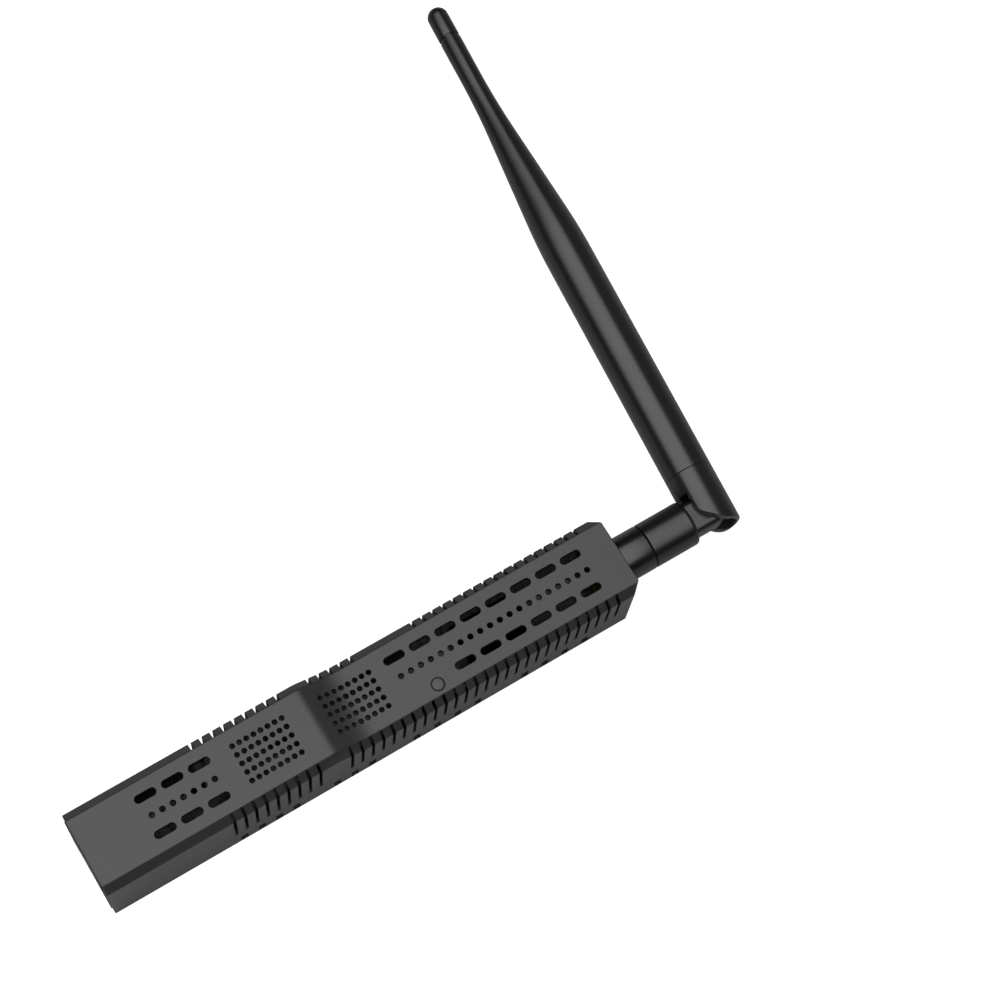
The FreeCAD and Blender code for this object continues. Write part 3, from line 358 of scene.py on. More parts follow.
def soften(corners: list[Triple], steps: int = 4) -> list[Point]:
    """Round the corners of an outline.

    Args:
        corners: Place, radius and how far the rounding reaches along both neighbours.
        steps: Points in each rounding, less one.

    Returns:
        Points of the outline with a quadratic curve at each soft corner.
    """
    points = []
    count = len(corners)
    for i, (along, radius, reach) in enumerate(corners):
        if not reach:
            points.append((along, radius))
            continue
        here = Vector((along, radius))
        sides = [Vector(corners[(i + step) % count][:2]) - here for step in (-1, 1)]
        enter, leave = [here + side.normalized() * min(reach, side.length / 2) for side in sides]
        for k in range(steps + 1):
            t = k / steps
            spot = enter * (1 - t) ** 2 + here * (2 * t * (1 - t)) + leave * t ** 2
            points.append((spot.x, spot.y))
    return points


def turned(outline: list[Point], segments: int = 96, closed: bool = False) -> Solid:
    """Turn an outline of (place, radius) about the local Z axis.

    Args:
        outline: Points in millimetres; a radius of 0 makes a closed pole.
        segments: Flats round the axis.
        closed: Whether the last point joins the first, as for a ring.

    Returns:
        The mesh, still in millimetres.
    """
    built = bmesh.new()
    turns = [math.tau * i / segments for i in range(segments)]
    rings = []
    for along, radius in outline:
        if radius < 1e-6:
            rings.append([built.verts.new((0, 0, along))])
        else:
            rings.append([built.verts.new((radius * math.cos(a), radius * math.sin(a), along))
                          for a in turns])
    for first, second in zip(rings, rings[1:] + rings[:1] if closed else rings[1:]):
        for i in range(segments):
            j = (i + 1) % segments
            ring = [first[i % len(first)], first[j % len(first)],
                    second[j % len(second)], second[i % len(second)]]
            corners = list(dict.fromkeys(ring))
            if len(corners) > 2:
                built.faces.new(corners)
    return built


def cylinder(start: float, end: float, radius: float, segments: int = 48) -> Solid:
    """Make a cylinder along the local Z axis, in millimetres."""
    return turned([(start, 0), (start, radius), (end, radius), (end, 0)], segments)


def block(low: Triple, high: Triple) -> Solid:
    """Make a block between two corners, in millimetres."""
    built = bmesh.new()
    bmesh.ops.create_cube(built, size=1.0)
    size = Vector(high) - Vector(low)
    bmesh.ops.scale(built, verts=built.verts, vec=size)
    bmesh.ops.translate(built, verts=built.verts, vec=Vector(low) + size / 2)
    return built


def loft(sections: list[list[Triple]]) -> Solid:
    """Join closed sections with equally many points, and close both ends."""
    built = bmesh.new()
    rings = [[built.verts.new(point) for point in section] for section in sections]
    count = len(rings[0])
    for first, second in zip(rings, rings[1:]):
        for i in range(count):
            j = (i + 1) % count
            built.faces.new((first[i], first[j], second[j], second[i]))
    built.faces.new(rings[0])
    built.faces.new(rings[-1])
    return built


def slice_off(built: Solid, point: Triple, normal: Triple) -> list:
    """Cut away what lies beyond a plane, and give what the cut has made."""
    return bmesh.ops.bisect_plane(
        built, geom=built.verts[:] + built.edges[:] + built.faces[:], plane_co=point,
        plane_no=normal, clear_outer=True)["geom_cut"]


def drawn(outline: list[Triple], along: Triple) -> Solid:
    """Draw a flat outline out along a direction, in millimetres."""
    built = bmesh.new()
    face = built.faces.new([built.verts.new(point) for point in outline])
    copy = bmesh.ops.extrude_face_region(built, geom=[face])["geom"]
    moved = [vert for vert in copy if isinstance(vert, bmesh.types.BMVert)]
    bmesh.ops.translate(built, vec=along, verts=moved)
    return built


def stadium(length: float, levels: list[Point], sides: int = 16) -> Solid:
    """Stack rounded slots of (height, radius) into one closed cutter.

    Args:
        length: Distance between the centres of the two round ends; 0 for a round hole.
        levels: Height and radius of each ring, from the bottom up.
        sides: Points round each ring.

    Returns:
        The cutter, in millimetres.
    """
    sections = []
    for height, radius in levels:
        turns = [math.tau * (i + 0.5) / sides for i in range(sides)]
        sections.append([(math.copysign(length / 2, math.cos(turn)) + radius * math.cos(turn),
                          radius * math.sin(turn), height) for turn in turns])
    return loft(sections)


def shade(built: Solid, crease: float = 28.0, flat_area: float = 3.0) -> None:
    """Mark which edges stay crisp, so that large flat faces keep an even tone.

    Args:
        built: Mesh in metres.
        crease: Angle in degrees above which an edge is always crisp.
        flat_area: Area in square millimetres from which a face counts as large.
    """
    for face in built.faces:
        face.smooth = True
    for edge in built.edges:
        if len(edge.link_faces) != 2:
            continue
        angle = math.degrees(edge.calc_face_angle(0.0))
        large = max(face.calc_area() for face in edge.link_faces) > flat_area * MM * MM
        edge.smooth = angle < (5.0 if large else crease)


def mesh_piece(name: str, built: Solid, place: Matrix = Matrix.Identity(4),
               finish: Finish | None = None) -> Piece:
    """Close, orient, shade and link a mesh.

    Args:
        name: Name of the piece.
        built: Mesh in millimetres; it is freed here.
        place: Where the local frame stands in the object's frame, in metres.
        finish: Finish of the whole piece.

    Returns:
        The object, at the world origin.
    """
    bmesh.ops.remove_doubles(built, verts=built.verts, dist=1e-4)
    bmesh.ops.transform(built, matrix=place @ Matrix.Scale(MM, 4), verts=built.verts)
    bmesh.ops.recalc_face_normals(built, faces=built.faces)
    shade(built)
    mesh = bpy.data.meshes.new(name)
    built.to_mesh(mesh)
    built.free()
    piece = bpy.data.objects.new(name, mesh)
    bpy.context.collection.objects.link(piece)
    if finish:
        mesh.materials.append(finish_of(finish))
    return piece


def bake(piece: Piece) -> None:
    """Turn a piece with its modifiers into a plain mesh, shaded afresh."""
    evaluated = piece.evaluated_get(bpy.context.evaluated_depsgraph_get())
    mesh = bpy.data.meshes.new_from_object(evaluated)
    mesh.name = piece.name
    piece.modifiers.clear()
    piece.data = mesh
    built = bmesh.new()
    built.from_mesh(mesh)
    bmesh.ops.remove_doubles(built, verts=built.verts, dist=2e-7)
    bmesh.ops.recalc_face_normals(built, faces=built.faces)
    shade(built)
    built.to_mesh(mesh)
    built.free()


def discard(*tools: Piece) -> None:
    """Remove cutters and units that are no longer needed."""
    for tool in tools:
        bpy.data.objects.remove(tool)


def unpacked(piece: Piece) -> Solid:
    """Turn a helper piece back into a mesh in millimetres and discard it."""
    built = bmesh.new()
    built.from_mesh(piece.data)
    bmesh.ops.scale(built, verts=built.verts, vec=(1 / MM,) * 3)
    discard(piece)
    return built


def carve(piece: Piece, built: Solid, place: Matrix = Matrix.Identity(4),
          operation: Cut = Cut.AWAY) -> None:
    """Cut a shape away from a piece, or join it on.

    Args:
        piece: Piece that changes.
        built: Shape in millimetres.
        place: Where the shape stands.
        operation: Cut away or join.
    """
    tool = mesh_piece("tool", built, place)
    modifier = piece.modifiers.new("cut", "BOOLEAN")
    modifier.operation = operation.value
    modifier.object = tool
    modifier.solver = "MANIFOLD"
    bake(piece)
    discard(tool)


def round_edges(piece: Piece, width_mm: float, angle: float = 35.0) -> None:
    """Round the edges of a piece by a small width."""
    modifier = piece.modifiers.new("edges", "BEVEL")
    modifier.width = width_mm * MM
    modifier.segments = 2
    modifier.limit_method = "ANGLE"
    modifier.angle_limit = math.radians(angle)
    bake(piece)


def fit(piece: Piece, body: Body, slot: str, *nodes: str) -> Piece:
    """Hang a finished piece on its body and let it stand for its CAD nodes.

    Args:
        piece: Finished piece.
        body: Rigid body that it moves with.
        slot: Material slot of the record; not used.
        *nodes: CAD nodes that it replaces.

    Returns:
        The same piece.
    """
    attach(piece, body.value)
    if nodes:
        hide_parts(*nodes)
    log.info("%s rides on %s, %d faces", piece.name, body.value, len(piece.data.polygons))
    return piece


def softened_node(node: str, name: str, body: Body, slot: str, finish: Finish,
                  width_mm: float, front: float = -1000.0) -> Piece:
    """Copy a carried-over node with its edges rounded, in place of the node itself.

    Args:
        node: CAD node that is copied and replaced.
        name: Name of the copy.
        body: Rigid body that it moves with.
        slot: Material slot of the record.
        finish: Finish of the copy.
        width_mm: Width of the rounding.
        front: Lowest X in millimetres that the copy may reach.

    Returns:
        The copy.
    """
    source = frame["nodes"][node]
    built = bmesh.new()
    built.from_mesh(source.data)
    bmesh.ops.transform(built, matrix=Matrix.Scale(1 / MM, 4) @ source.matrix_world,
                        verts=built.verts)
    bmesh.ops.remove_doubles(built, verts=built.verts, dist=1e-4)
    bmesh.ops.dissolve_limit(built, angle_limit=math.radians(1.0), verts=built.verts,
                             edges=built.edges)
    for corner in built.verts:
        corner.co.x = max(corner.co.x, front)
    piece = mesh_piece(name, built, finish=finish)
    round_edges(piece, width_mm)
    return fit(piece, body, slot, node)


# Geometry Nodes


def new_group(name: str, inputs: dict[str, str]) -> tuple[Tree, Node]:
    """Make an empty geometry group with named inputs.

    Args:
        name: Name of the group.
        inputs: Input name to socket type, without the common "NodeSocket".

    Returns:
        The tree and its input node.
    """
    tree = bpy.data.node_groups.new(name, "GeometryNodeTree")
    tree.interface.new_socket("Geometry", in_out="OUTPUT", socket_type="NodeSocketGeometry")
    tree.interface.new_socket("Geometry", in_out="INPUT", socket_type="NodeSocketGeometry")
    for label, kind in inputs.items():
        tree.interface.new_socket(label, in_out="INPUT", socket_type="NodeSocket" + kind)
    return tree, add_node(tree, "NodeGroupInput")


def close_group(tree: Tree, source: Node, geometry: Socket,
                chosen: Socket | bool = True) -> None:
    """End a group with real geometry in its finish.

    Args:
        tree: Group that is ended.
        source: Input node of the group.
        geometry: What the group has made.
        chosen: Which faces take the finish.
    """
    real = add_node(tree, "GeometryNodeRealizeInstances", {"Geometry": geometry})
    painted = add_node(tree, "GeometryNodeSetMaterial", {
        "Geometry": real.outputs[0], "Selection": chosen, "Material": source.outputs["Finish"]})
    add_node(tree, "NodeGroupOutput", {"Geometry": painted.outputs[0]})


ROW_INPUTS = {"Unit": "Object", "Start": "Vector", "Column Step": "Float", "Columns": "Int",
              "Row Step": "Float", "Rows": "Int", "Finish": "Material"}


def units_in_rows(tree: Tree, source: Node) -> Socket:
    """Stand copies of the unit in rows and columns.

    Args:
        tree: Group that gets the nodes.
        source: Input node of the group.

    Returns:
        The socket with the copies as real geometry.
    """
    step_x = add_node(tree, "ShaderNodeCombineXYZ", {"X": source.outputs["Column Step"]})
    step_y = add_node(tree, "ShaderNodeCombineXYZ", {"Y": source.outputs["Row Step"]})
    columns = add_node(tree, "GeometryNodeMeshLine", {
        "Count": source.outputs["Columns"], "Start Location": source.outputs["Start"],
        "Offset": step_x.outputs[0]})
    rows = add_node(tree, "GeometryNodeMeshLine", {
        "Count": source.outputs["Rows"], "Offset": step_y.outputs[0]})
    field = add_node(tree, "GeometryNodeInstanceOnPoints", {
        "Points": rows.outputs[0], "Instance": columns.outputs[0]})
    spots = add_node(tree, "GeometryNodeRealizeInstances", {"Geometry": field.outputs[0]})
    unit = add_node(tree, "GeometryNodeObjectInfo", {"Object": source.outputs["Unit"]})
    copies = add_node(tree, "GeometryNodeInstanceOnPoints", {
        "Points": spots.outputs[0], "Instance": unit.outputs["Geometry"]})
    return add_node(tree, "GeometryNodeRealizeInstances", {
        "Geometry": copies.outputs[0]}).outputs[0]


def perforation_group() -> Tree:
    """Group that cuts rows of one opening out of a wall; cut faces take the opening's finish."""
    tree, source = new_group("perforation", ROW_INPUTS)
    cut = add_node(tree, "GeometryNodeMeshBoolean", {
        0: source.outputs["Geometry"], 1: units_in_rows(tree, source)},
        operation="DIFFERENCE", solver="MANIFOLD")
    skin = add_node(tree, "GeometryNodeMaterialSelection", {"Material": source.outputs["Finish"]})
    close_group(tree, source, cut.outputs[0], skin.outputs[0])
    return tree


def array_group() -> Tree:
    """Group that lays out rows of one small part."""
    tree, source = new_group("part_rows", ROW_INPUTS)
    close_group(tree, source, units_in_rows(tree, source))
    return tree


def thread_group() -> Tree:
    """Group that winds a ridge along a helix, as a screw thread."""
    tree, source = new_group("screw_thread", {
        "Turns": "Float", "Radius": "Float", "Length": "Float", "Ridge": "Float",
        "Finish": "Material"})
    helix = add_node(tree, "GeometryNodeCurveSpiral", {
        "Resolution": 48, "Rotations": source.outputs["Turns"],
        "Start Radius": source.outputs["Radius"], "End Radius": source.outputs["Radius"],
        "Height": source.outputs["Length"]})
    profile = add_node(tree, "GeometryNodeCurvePrimitiveCircle", {
        "Resolution": 6, "Radius": source.outputs["Ridge"]}, mode="RADIUS")
    ridge = add_node(tree, "GeometryNodeCurveToMesh", {
        "Curve": helix.outputs[0], "Profile Curve": profile.outputs[0], "Fill Caps": True})
    core = add_node(tree, "GeometryNodeJoinGeometry", {"Geometry": ridge.outputs[0]})
    tree.links.new(source.outputs["Geometry"], core.inputs[0])
    close_group(tree, source, core.outputs[0])
    return tree


def run_group(piece: Piece, tree: Tree, values: dict[str, object]) -> None:
    """Hang a group on a piece with its inputs set by socket identifier.

    Args:
        piece: Piece that gets the modifier.
        tree: Group to run.
        values: Input name to value; lengths in metres.
    """
    modifier = piece.modifiers.new(tree.name, "NODES")
    modifier.node_group = tree
    for item in tree.interface.items_tree:
        if item.item_type == "SOCKET" and item.in_out == "INPUT" and item.name in values:
            modifier[item.identifier] = values[item.name]


@dataclass(frozen=True)
class Rows:
    """Where copies of one opening or small part stand, in millimetres."""

    start: Triple
    step_x: float = 0.0
    columns: int = 1
    step_y: float = 0.0
    rows: int = 1

    def inputs(self, unit: Piece, finish: Finish) -> dict[str, object]:
        """Give the inputs of a row group for one unit and finish."""
        return {"Unit": unit, "Start": [value * MM for value in self.start],
                "Column Step": self.step_x * MM, "Columns": self.columns,
                "Row Step": self.step_y * MM, "Rows": self.rows, "Finish": finish_of(finish)}


# Sub-assemblies


@dataclass
class CaseCover:
    """Moulded cover: stepped top with a curved ramp, soft bevels and all its vents."""

    half_length: float = 62.0
    half_width: float = 9.2
    front_top: float = 22.3
    rear_top: float = 19.3
    wall: float = 1.2
    edge_bevel: float = 1.8
    corner_bevel: float = 2.0
    crest_x: float = -10.0
    slope: float = 0.43
    crest_share: float = 0.15
    foot_share: float = 0.5
    edge_soft: float = 0.22
    lip_soft: float = 0.08
    slot_run: float = 3.0
    slit_width: float = 0.7
    slit_foot: float = 8.2
    window_width: float = 1.6
    window_span: Point = (0.4, 4.2)
    groove_depth: float = 0.55
    groove_span: Point = (-61.1, -60.2)
    jack_radius: float = 3.275

    def top_line(self, inset: float, start: float, end: float) -> list[Point]:
        """Give the top as (X, height), with the ramp's two blends.

        Args:
            inset: How far the skin moves in.
            start: First X.
            end: Last X.

        Returns:
            Points along the top.
        """
        run = (self.front_top - self.rear_top) / self.slope
        shift = inset * math.tan(math.atan(self.slope) / 2)
        reach = math.hypot(run, self.front_top - self.rear_top)
        front, rear = self.front_top - inset, self.rear_top - inset
        crest = self.crest_x - shift
        corners = [(start, front, 0), (crest, front, self.crest_share * reach),
                   (crest + run, rear, self.foot_share * reach), (end, rear, 0)]
        return soften(corners, steps=14)

    def body(self, inset: float, start: float, end: float, floor: float) -> Solid:
        """Loft the section along the top line and trim the two rear corners.

        Args:
            inset: How far the skin moves in.
            start: First X.
            end: Last X.
            floor: Height of the underside.

        Returns:
            The closed body, in millimetres.
        """
        half = self.half_width - inset
        loss = inset * (2 - math.sqrt(2))
        bevel = self.edge_bevel - loss
        built = loft([[(x, y, z) for y, z in (
            (-half, floor), (half, floor), (half, top - bevel), (half - bevel, top),
            (bevel - half, top), (-half, top - bevel))]
            for x, top in self.top_line(inset, start, end)])
        for side in (-1, 1):
            corner = (end - (self.corner_bevel - loss), side * half, 0)
            rim = slice_off(built, corner, (1, side, 0))
            bmesh.ops.edgeloop_fill(
                built, edges=[item for item in rim if isinstance(item, bmesh.types.BMEdge)])
        flats = [edge for edge in built.edges if edge.calc_face_angle(1.0) < 1e-4]
        bmesh.ops.dissolve_edges(built, edges=flats, use_verts=True)
        return built

    def vents(self) -> list[tuple[Solid, list[Rows]]]:
        """Give each opening's cutter with the rows in which it repeats."""
        lip = self.lip_soft
        front, rear = self.front_top, self.rear_top

        def mouth(radius: float, flared: bool = True) -> list[Point]:
            wide = radius + lip if flared else radius
            return [(-3.0, radius), (-lip, radius), (-0.3 * lip, radius + 0.3 * (wide - radius)),
                    (0.1 * lip, wide), (3.5, wide)]

        inner, outer = self.half_width - self.edge_bevel + 0.05, self.half_width + 1.2
        deep = self.half_width - 1.8
        half, low_half = self.slit_width / 2, self.window_width / 2
        foot, (sill, lintel) = self.slit_foot, self.window_span
        slit = block((-half, inner, foot), (half, outer, front + 1))
        slit_far = block((-half, -outer, foot), (half, -inner, front + 1))
        low = block((-low_half, deep, sill), (low_half, outer, lintel))
        low_far = block((-low_half, -outer, sill), (low_half, -deep, lintel))
        step, first = 2.432, -33.70
        runs = ((-32.1, 4.04, 4), (-10.4, 4.15, 3), (8.5, 4.9, 4), (34.7, 4.9, 4))
        windows = [Rows((x, 0, 0), pitch, count) for x, pitch, count in runs]
        return [
            (stadium(0, mouth(0.62)), [Rows((-46.92, 0, front), 7 / 3, 7),
                                       Rows((9.63, 0, rear), 7 / 3, 20)]),
            (stadium(0, mouth(0.55)), [Rows((-26.79, -4, front), 1.6, 8, 2, 5),
                                       Rows((-2.01, -4, rear), 1.6, 5, 2, 5)]),
            (stadium(0, mouth(0.55, False)), [Rows((-6.81, -4, rear), 1.6, 3, 2, 5)]),
            (stadium(self.slot_run, mouth(0.85), 24), [
                Rows((-46.18, -4.04, front), 6, 3, 8.08, 2),
                Rows((22.38, -4.04, rear), 6, 6), Rows((10.38, 4.04, rear), 6, 8)]),
            (stadium(0, mouth(1.44), 48), [Rows((15.2, -5.2, rear))]),
            (slit, [Rows((first, 0, 0), step, 9), Rows((first + 11 * step, 0, 0), step, 5),
                    Rows((first + 21 * step, 0, 0), step, 17)]),
            (slit_far, [Rows((first, 0, 0), step, 9), Rows((first + 11 * step, 0, 0), step, 27)]),
            (low, windows), (low_far, windows)]

    def bosses(self) -> Solid:
        """Make the four screw bosses with their pilot holes."""
        joined = bmesh.new()
        scratch = bpy.data.meshes.new("boss")
        for x, roof in ((-51.4, self.front_top), (58.4, self.rear_top)):
            for side in (-1, 1):
                roof_z = roof - self.wall / 2
                boss = turned([(8.15, 0), (8.15, 1.02), (2.65, 1.02), (2.65, 1.7), (9.715, 1.7),
                               (9.715, 2.3), (roof_z, 2.3), (roof_z, 0)], 32)
                bmesh.ops.translate(boss, verts=boss.verts, vec=(x, side * 5.5875, 0))
                boss.to_mesh(scratch)
                boss.free()
                joined.from_mesh(scratch)
        bpy.data.meshes.remove(scratch)
        return joined

    def build(self) -> None:
        """Build the cover and let it stand for its node."""
        cover = mesh_piece("cover", self.body(0, -self.half_length, self.half_length, 0),
                           finish=CASE_ABS)
        soft = cover.modifiers.new("edges", "BEVEL")
        soft.width = self.edge_soft * MM
        soft.segments = 3
        soft.limit_method = "ANGLE"
        soft.angle_limit = math.radians(25)
        perforation = perforation_group()
        inner_end = self.half_length - self.wall
        void = self.body(self.wall, -self.half_length - 1, inner_end, -1)
        groove_start, groove_end = self.groove_span
        groove = self.body(self.wall - self.groove_depth, groove_start, 90, -1)
        slice_off(groove, (groove_end, 0, 0), (1, 0, 0))
        bmesh.ops.holes_fill(groove, edges=[e for e in groove.edges if e.is_boundary])
        hole = cylinder(inner_end - 0.6, self.half_length + 1, self.jack_radius, 64)
        # The cutters carry the near-black painted-shade finish onto every face they cut: the
        # inside, the groove, the vents and the jack hole
        openings = self.vents() + [(void, [Rows((0, 0, 0))]), (groove, [Rows((0, 0, 0))])]
        tools = []
        for cutter, fields in openings:
            tools.append(mesh_piece("opening", cutter, finish=INSIDE_SHADE_ABS))
            for field in fields:
                run_group(cover, perforation, field.inputs(tools[-1], CASE_ABS))
        tools.append(mesh_piece("jack_hole", hole, JACK, INSIDE_SHADE_ABS))
        run_group(cover, perforation, Rows((0, 0, 0)).inputs(tools[-1], CASE_ABS))
        bake(cover)
        discard(*tools)
        carve(cover, self.bosses(), operation=Cut.JOIN)
        fit(cover, Body.HOUSING, "case_plastic", "top_cover")


@dataclass
class AntennaPlug:
    """Coupling nut and swivel barrel with its hinge tongue."""

    nut: Point = (62.1, 69.3)
    barrel: Point = (69.5, 80.05)
    radius: float = 5.0
    thread_radius: float = 3.175
    nut_seat: float = 67.66
    ferrule_radius: float = 2.3
    lead_radius: float = 1.35
    clip_groove: Triple = (73.11, 73.81, 2.95)
    bore_ends: Point = (74.71, 78.05)
    pivot_x: float = 85.3
    tongue_half: float = 2.9
    tongue_radius: float = 3.75
    tongue_round: float = 1.6
    passage_start: float = 78.0
    passage_half: float = 1.45

    def build_nut(self) -> None:
        """Turn the nut: smooth, with softly broken edges at both ends."""
        start, end = self.nut
        seat, thread, ferrule = self.nut_seat, self.thread_radius, self.ferrule_radius
        outline = soften([(start, thread, 0.15), (start, self.radius, 0.3), (end, self.radius, 0.3),
                          (end, ferrule, 0.1), (seat, ferrule, 0), (seat, thread, 0)])
        nut = mesh_piece("coupling_nut_turned", turned(outline, closed=True), JACK, BLACK_CHROME)
        fit(nut, Body.HOUSING, "black_metal", "coupling_nut")

    def tongue(self) -> Solid:
        """Stack the tongue's plan, round at the hinge, so that all its long edges are round."""
        sections = []
        flat = self.tongue_half - self.tongue_round
        start = self.barrel[1] - 0.6
        arc = [math.pi * (k / 32 - 0.5) for k in range(33)]
        for side in (-1, 1):
            for i in range(11):
                turn = math.pi / 20 * (10 - i if side < 0 else i)
                half = self.tongue_radius - self.tongue_round * (1 - math.cos(turn))
                height = side * (flat + self.tongue_round * math.sin(turn))
                plan = [(start, -half)] + [(self.pivot_x + half * math.cos(a), half * math.sin(a))
                                           for a in arc] + [(start, half)]
                sections.append([(x, y, height) for x, y in plan])
        return loft(sections)

    def build_barrel(self) -> None:
        """Turn the barrel, join the rounded tongue and its studs, and open the lead's passage."""
        start, end = self.barrel
        step, floor = self.bore_ends
        groove_start, groove_end, groove = self.clip_groove
        ferrule, lead = self.ferrule_radius, self.lead_radius
        outline = soften([(start, ferrule, 0), (start, self.radius, 0.3), (end, self.radius, 0.8),
                          (end, 0, 0), (floor, 0, 0), (floor, lead, 0), (step, lead, 0),
                          (step, ferrule, 0), (groove_end, ferrule, 0), (groove_end, groove, 0),
                          (groove_start, groove, 0), (groove_start, ferrule, 0)])
        barrel = mesh_piece("swivel_barrel_moulded", turned(outline, closed=True), SWIVEL @ JACK,
                            ANTENNA_NYLON)
        level = SWIVEL @ Matrix.Translation((0, 0, AXIS_Z))
        carve(barrel, unpacked(mesh_piece("tongue", self.tongue(), level)), operation=Cut.JOIN)
        stud = turned(soften([(-4, 0, 0), (-4, 1.5, 0.1), (4, 1.5, 0.1), (4, 0, 0)]), 48)
        carve(barrel, stud, HINGE, Cut.JOIN)
        high, beyond = self.passage_half, self.pivot_x + 10
        carve(barrel, block((self.passage_start, -lead, -high), (beyond, lead, high)), level)
        carve(barrel, block((end + 0.01, 0, -high), (beyond, 6, high)), level)
        fit(barrel, Body.SWIVEL, "antenna_plastic", "swivel_barrel")

    def build(self) -> None:
        """Build both."""
        self.build_nut()
        self.build_barrel()


@dataclass
class AntennaRod:
    """Fork, tapered sleeve and tip cap."""

    radius: float = 5.22
    seam: float = 9.0
    foot: float = -4.6
    spigot: Point = (4.1, 17.0)
    cavity_radius: float = 4.22
    cavity_roof: float = 4.15
    cheek_inner: float = 3.1
    stud_radius: float = 1.55
    lead_radius: float = 1.35
    tube_seat: Point = (12.0, 3.02)
    shoulder: float = 70.9
    neck: float = 107.5
    thin: float = 2.44
    sleeve_end: float = 125.8
    cap_start: float = 126.6
    cap_end: float = 134.85
    groove_radius: float = 2.2
    socket_end: float = 118.4
    socket_radius: float = 1.52
    whip_bore: float = 1.05
    tube_bore: float = 3.4
    seam_soft: float = 0.18

    def build_fork(self) -> None:
        """Turn the fork's skin, hollow it, slant its cheeks and round its edges."""
        spigot_radius, spigot_end = self.spigot
        outline = soften([(self.foot, 0, 0), (self.foot, self.radius, 0.55),
                          (self.seam, self.radius, self.seam_soft), (self.seam, spigot_radius, 0),
                          (spigot_end, spigot_radius, 0), (spigot_end, 0, 0)])
        fork = mesh_piece("fork_moulded", turned(outline), ROD, ANTENNA_NYLON)
        bottom, roof, half = self.foot - 1, self.cavity_roof, self.cheek_inner
        inside = cylinder(bottom, roof, self.cavity_radius, 96)
        hollow = mesh_piece("hollow", inside, ROD)
        carve(hollow, block((-5.3, -half, bottom), (5.3, half, roof)), ROD, Cut.SHARED)
        carve(fork, unpacked(hollow))
        carve(fork, block((0, -half, bottom), (6.3, half, 4.4)), ROD)
        out = self.radius + 1.08
        slant = soften([(3.3, 4.4, 0), (3.3, -0.1, 2.25), (-1.75, self.foot, 2.2),
                        (-out, self.foot, 0), (-out, bottom, 0), (out, bottom, 0),
                        (out, 4.4, 0)], 8)
        carve(fork, drawn([(x, -out, s) for x, s in slant], (0, 2 * out, 0)), ROD)
        round_edges(fork, 0.16)
        carve(fork, cylinder(-4.1, 4.1, self.stud_radius), HINGE)
        seat_start, seat_radius = self.tube_seat
        carve(fork, cylinder(0, spigot_end + 1, self.lead_radius), ROD)
        carve(fork, cylinder(seat_start, spigot_end + 1, seat_radius), ROD)
        fit(fork, Body.ANTENNA, "antenna_plastic", "antenna_fork")

    def build_sleeve(self) -> None:
        """Turn the long sleeve: even, then drawn in to its neck, hollow inside."""
        outline = soften([
            (self.seam, self.radius, self.seam_soft), (self.shoulder, self.radius, 5.9),
            (self.neck, self.thin, 7.5), (self.sleeve_end, self.thin, 0.12),
            (self.sleeve_end, self.socket_radius, 0), (self.socket_end, self.socket_radius, 0),
            (self.socket_end, self.whip_bore, 0), (95, self.whip_bore, 0),
            (60, self.tube_bore, 0), (self.spigot[1], self.tube_bore, 0),
            (self.spigot[1], self.spigot[0] + 0.02, 0), (self.seam, self.spigot[0] + 0.02, 0)], 10)
        sleeve = mesh_piece("sleeve_moulded", turned(outline, closed=True), ROD, ANTENNA_RUBBER)
        fit(sleeve, Body.ANTENNA, "antenna_rubber", "antenna_sleeve")

    def build_cap(self) -> None:
        """Turn the domed cap with its groove and spigot."""
        centre = self.cap_end - self.thin
        dome = [(centre + self.thin * math.sin(math.pi / 2 * i / 16),
                 self.thin * math.cos(math.pi / 2 * i / 16)) for i in range(1, 17)]
        end, pin, groove = self.socket_end, self.socket_radius - 0.02, self.groove_radius
        foot = soften([(122.0, 0, 0), (122.0, 0.82, 0), (end, 0.82, 0), (end, pin, 0.1),
                       (self.sleeve_end, pin, 0), (self.sleeve_end, groove, 0),
                       (self.cap_start, groove, 0), (self.cap_start, self.thin, 0.12),
                       (centre, self.thin, 0)])
        cap = mesh_piece("tip_cap_moulded", turned(foot + dome), ROD, ANTENNA_NYLON)
        fit(cap, Body.ANTENNA, "antenna_plastic", "tip_cap")

    def build(self) -> None:
        """Build all three."""
        self.build_fork()
        self.build_sleeve()
        self.build_cap()


@dataclass
class CaseFittings:
    """Button, end plate, bottom plate and screws."""

    button_at: Point = (15.2, -5.2)
    radius: float = 1.42
    flange: float = 1.68
    foot: float = 14.165
    ceiling: float = 18.05
    top: float = 19.65

    def build(self) -> None:
        """Build the fittings in order."""
        outline = soften([(self.foot, 0, 0), (self.foot, 0.9, 0), (self.ceiling - 0.7, 0.9, 0.1),
                          (self.ceiling - 0.7, self.flange, 0.1), (self.ceiling, self.flange, 0.1),
                          (self.ceiling, self.radius, 0), (self.top, self.radius, 0.5),
                          (self.top, 0, 0)], 5)
        place = Matrix.Translation(Vector((*self.button_at, 0)) * MM)
        button = mesh_piece("button_moulded", turned(outline, 64), place, BUTTON_ABS)
        fit(button, Body.BUTTON, "case_plastic", "button_cap")
        softened_node("end_plate", "end_plate_moulded", Body.HOUSING, "dark_plastic", PORT_ABS,
                      0.06, front=-62.2)
        softened_node("bottom_plate", "bottom_plate_moulded", Body.HOUSING, "case_plastic",
                      CASE_ABS, 0.15)
        softened_node("case_screws", "case_screws_headed", Body.HOUSING, "screw_steel",
                      ZINC_STEEL, 0.08)


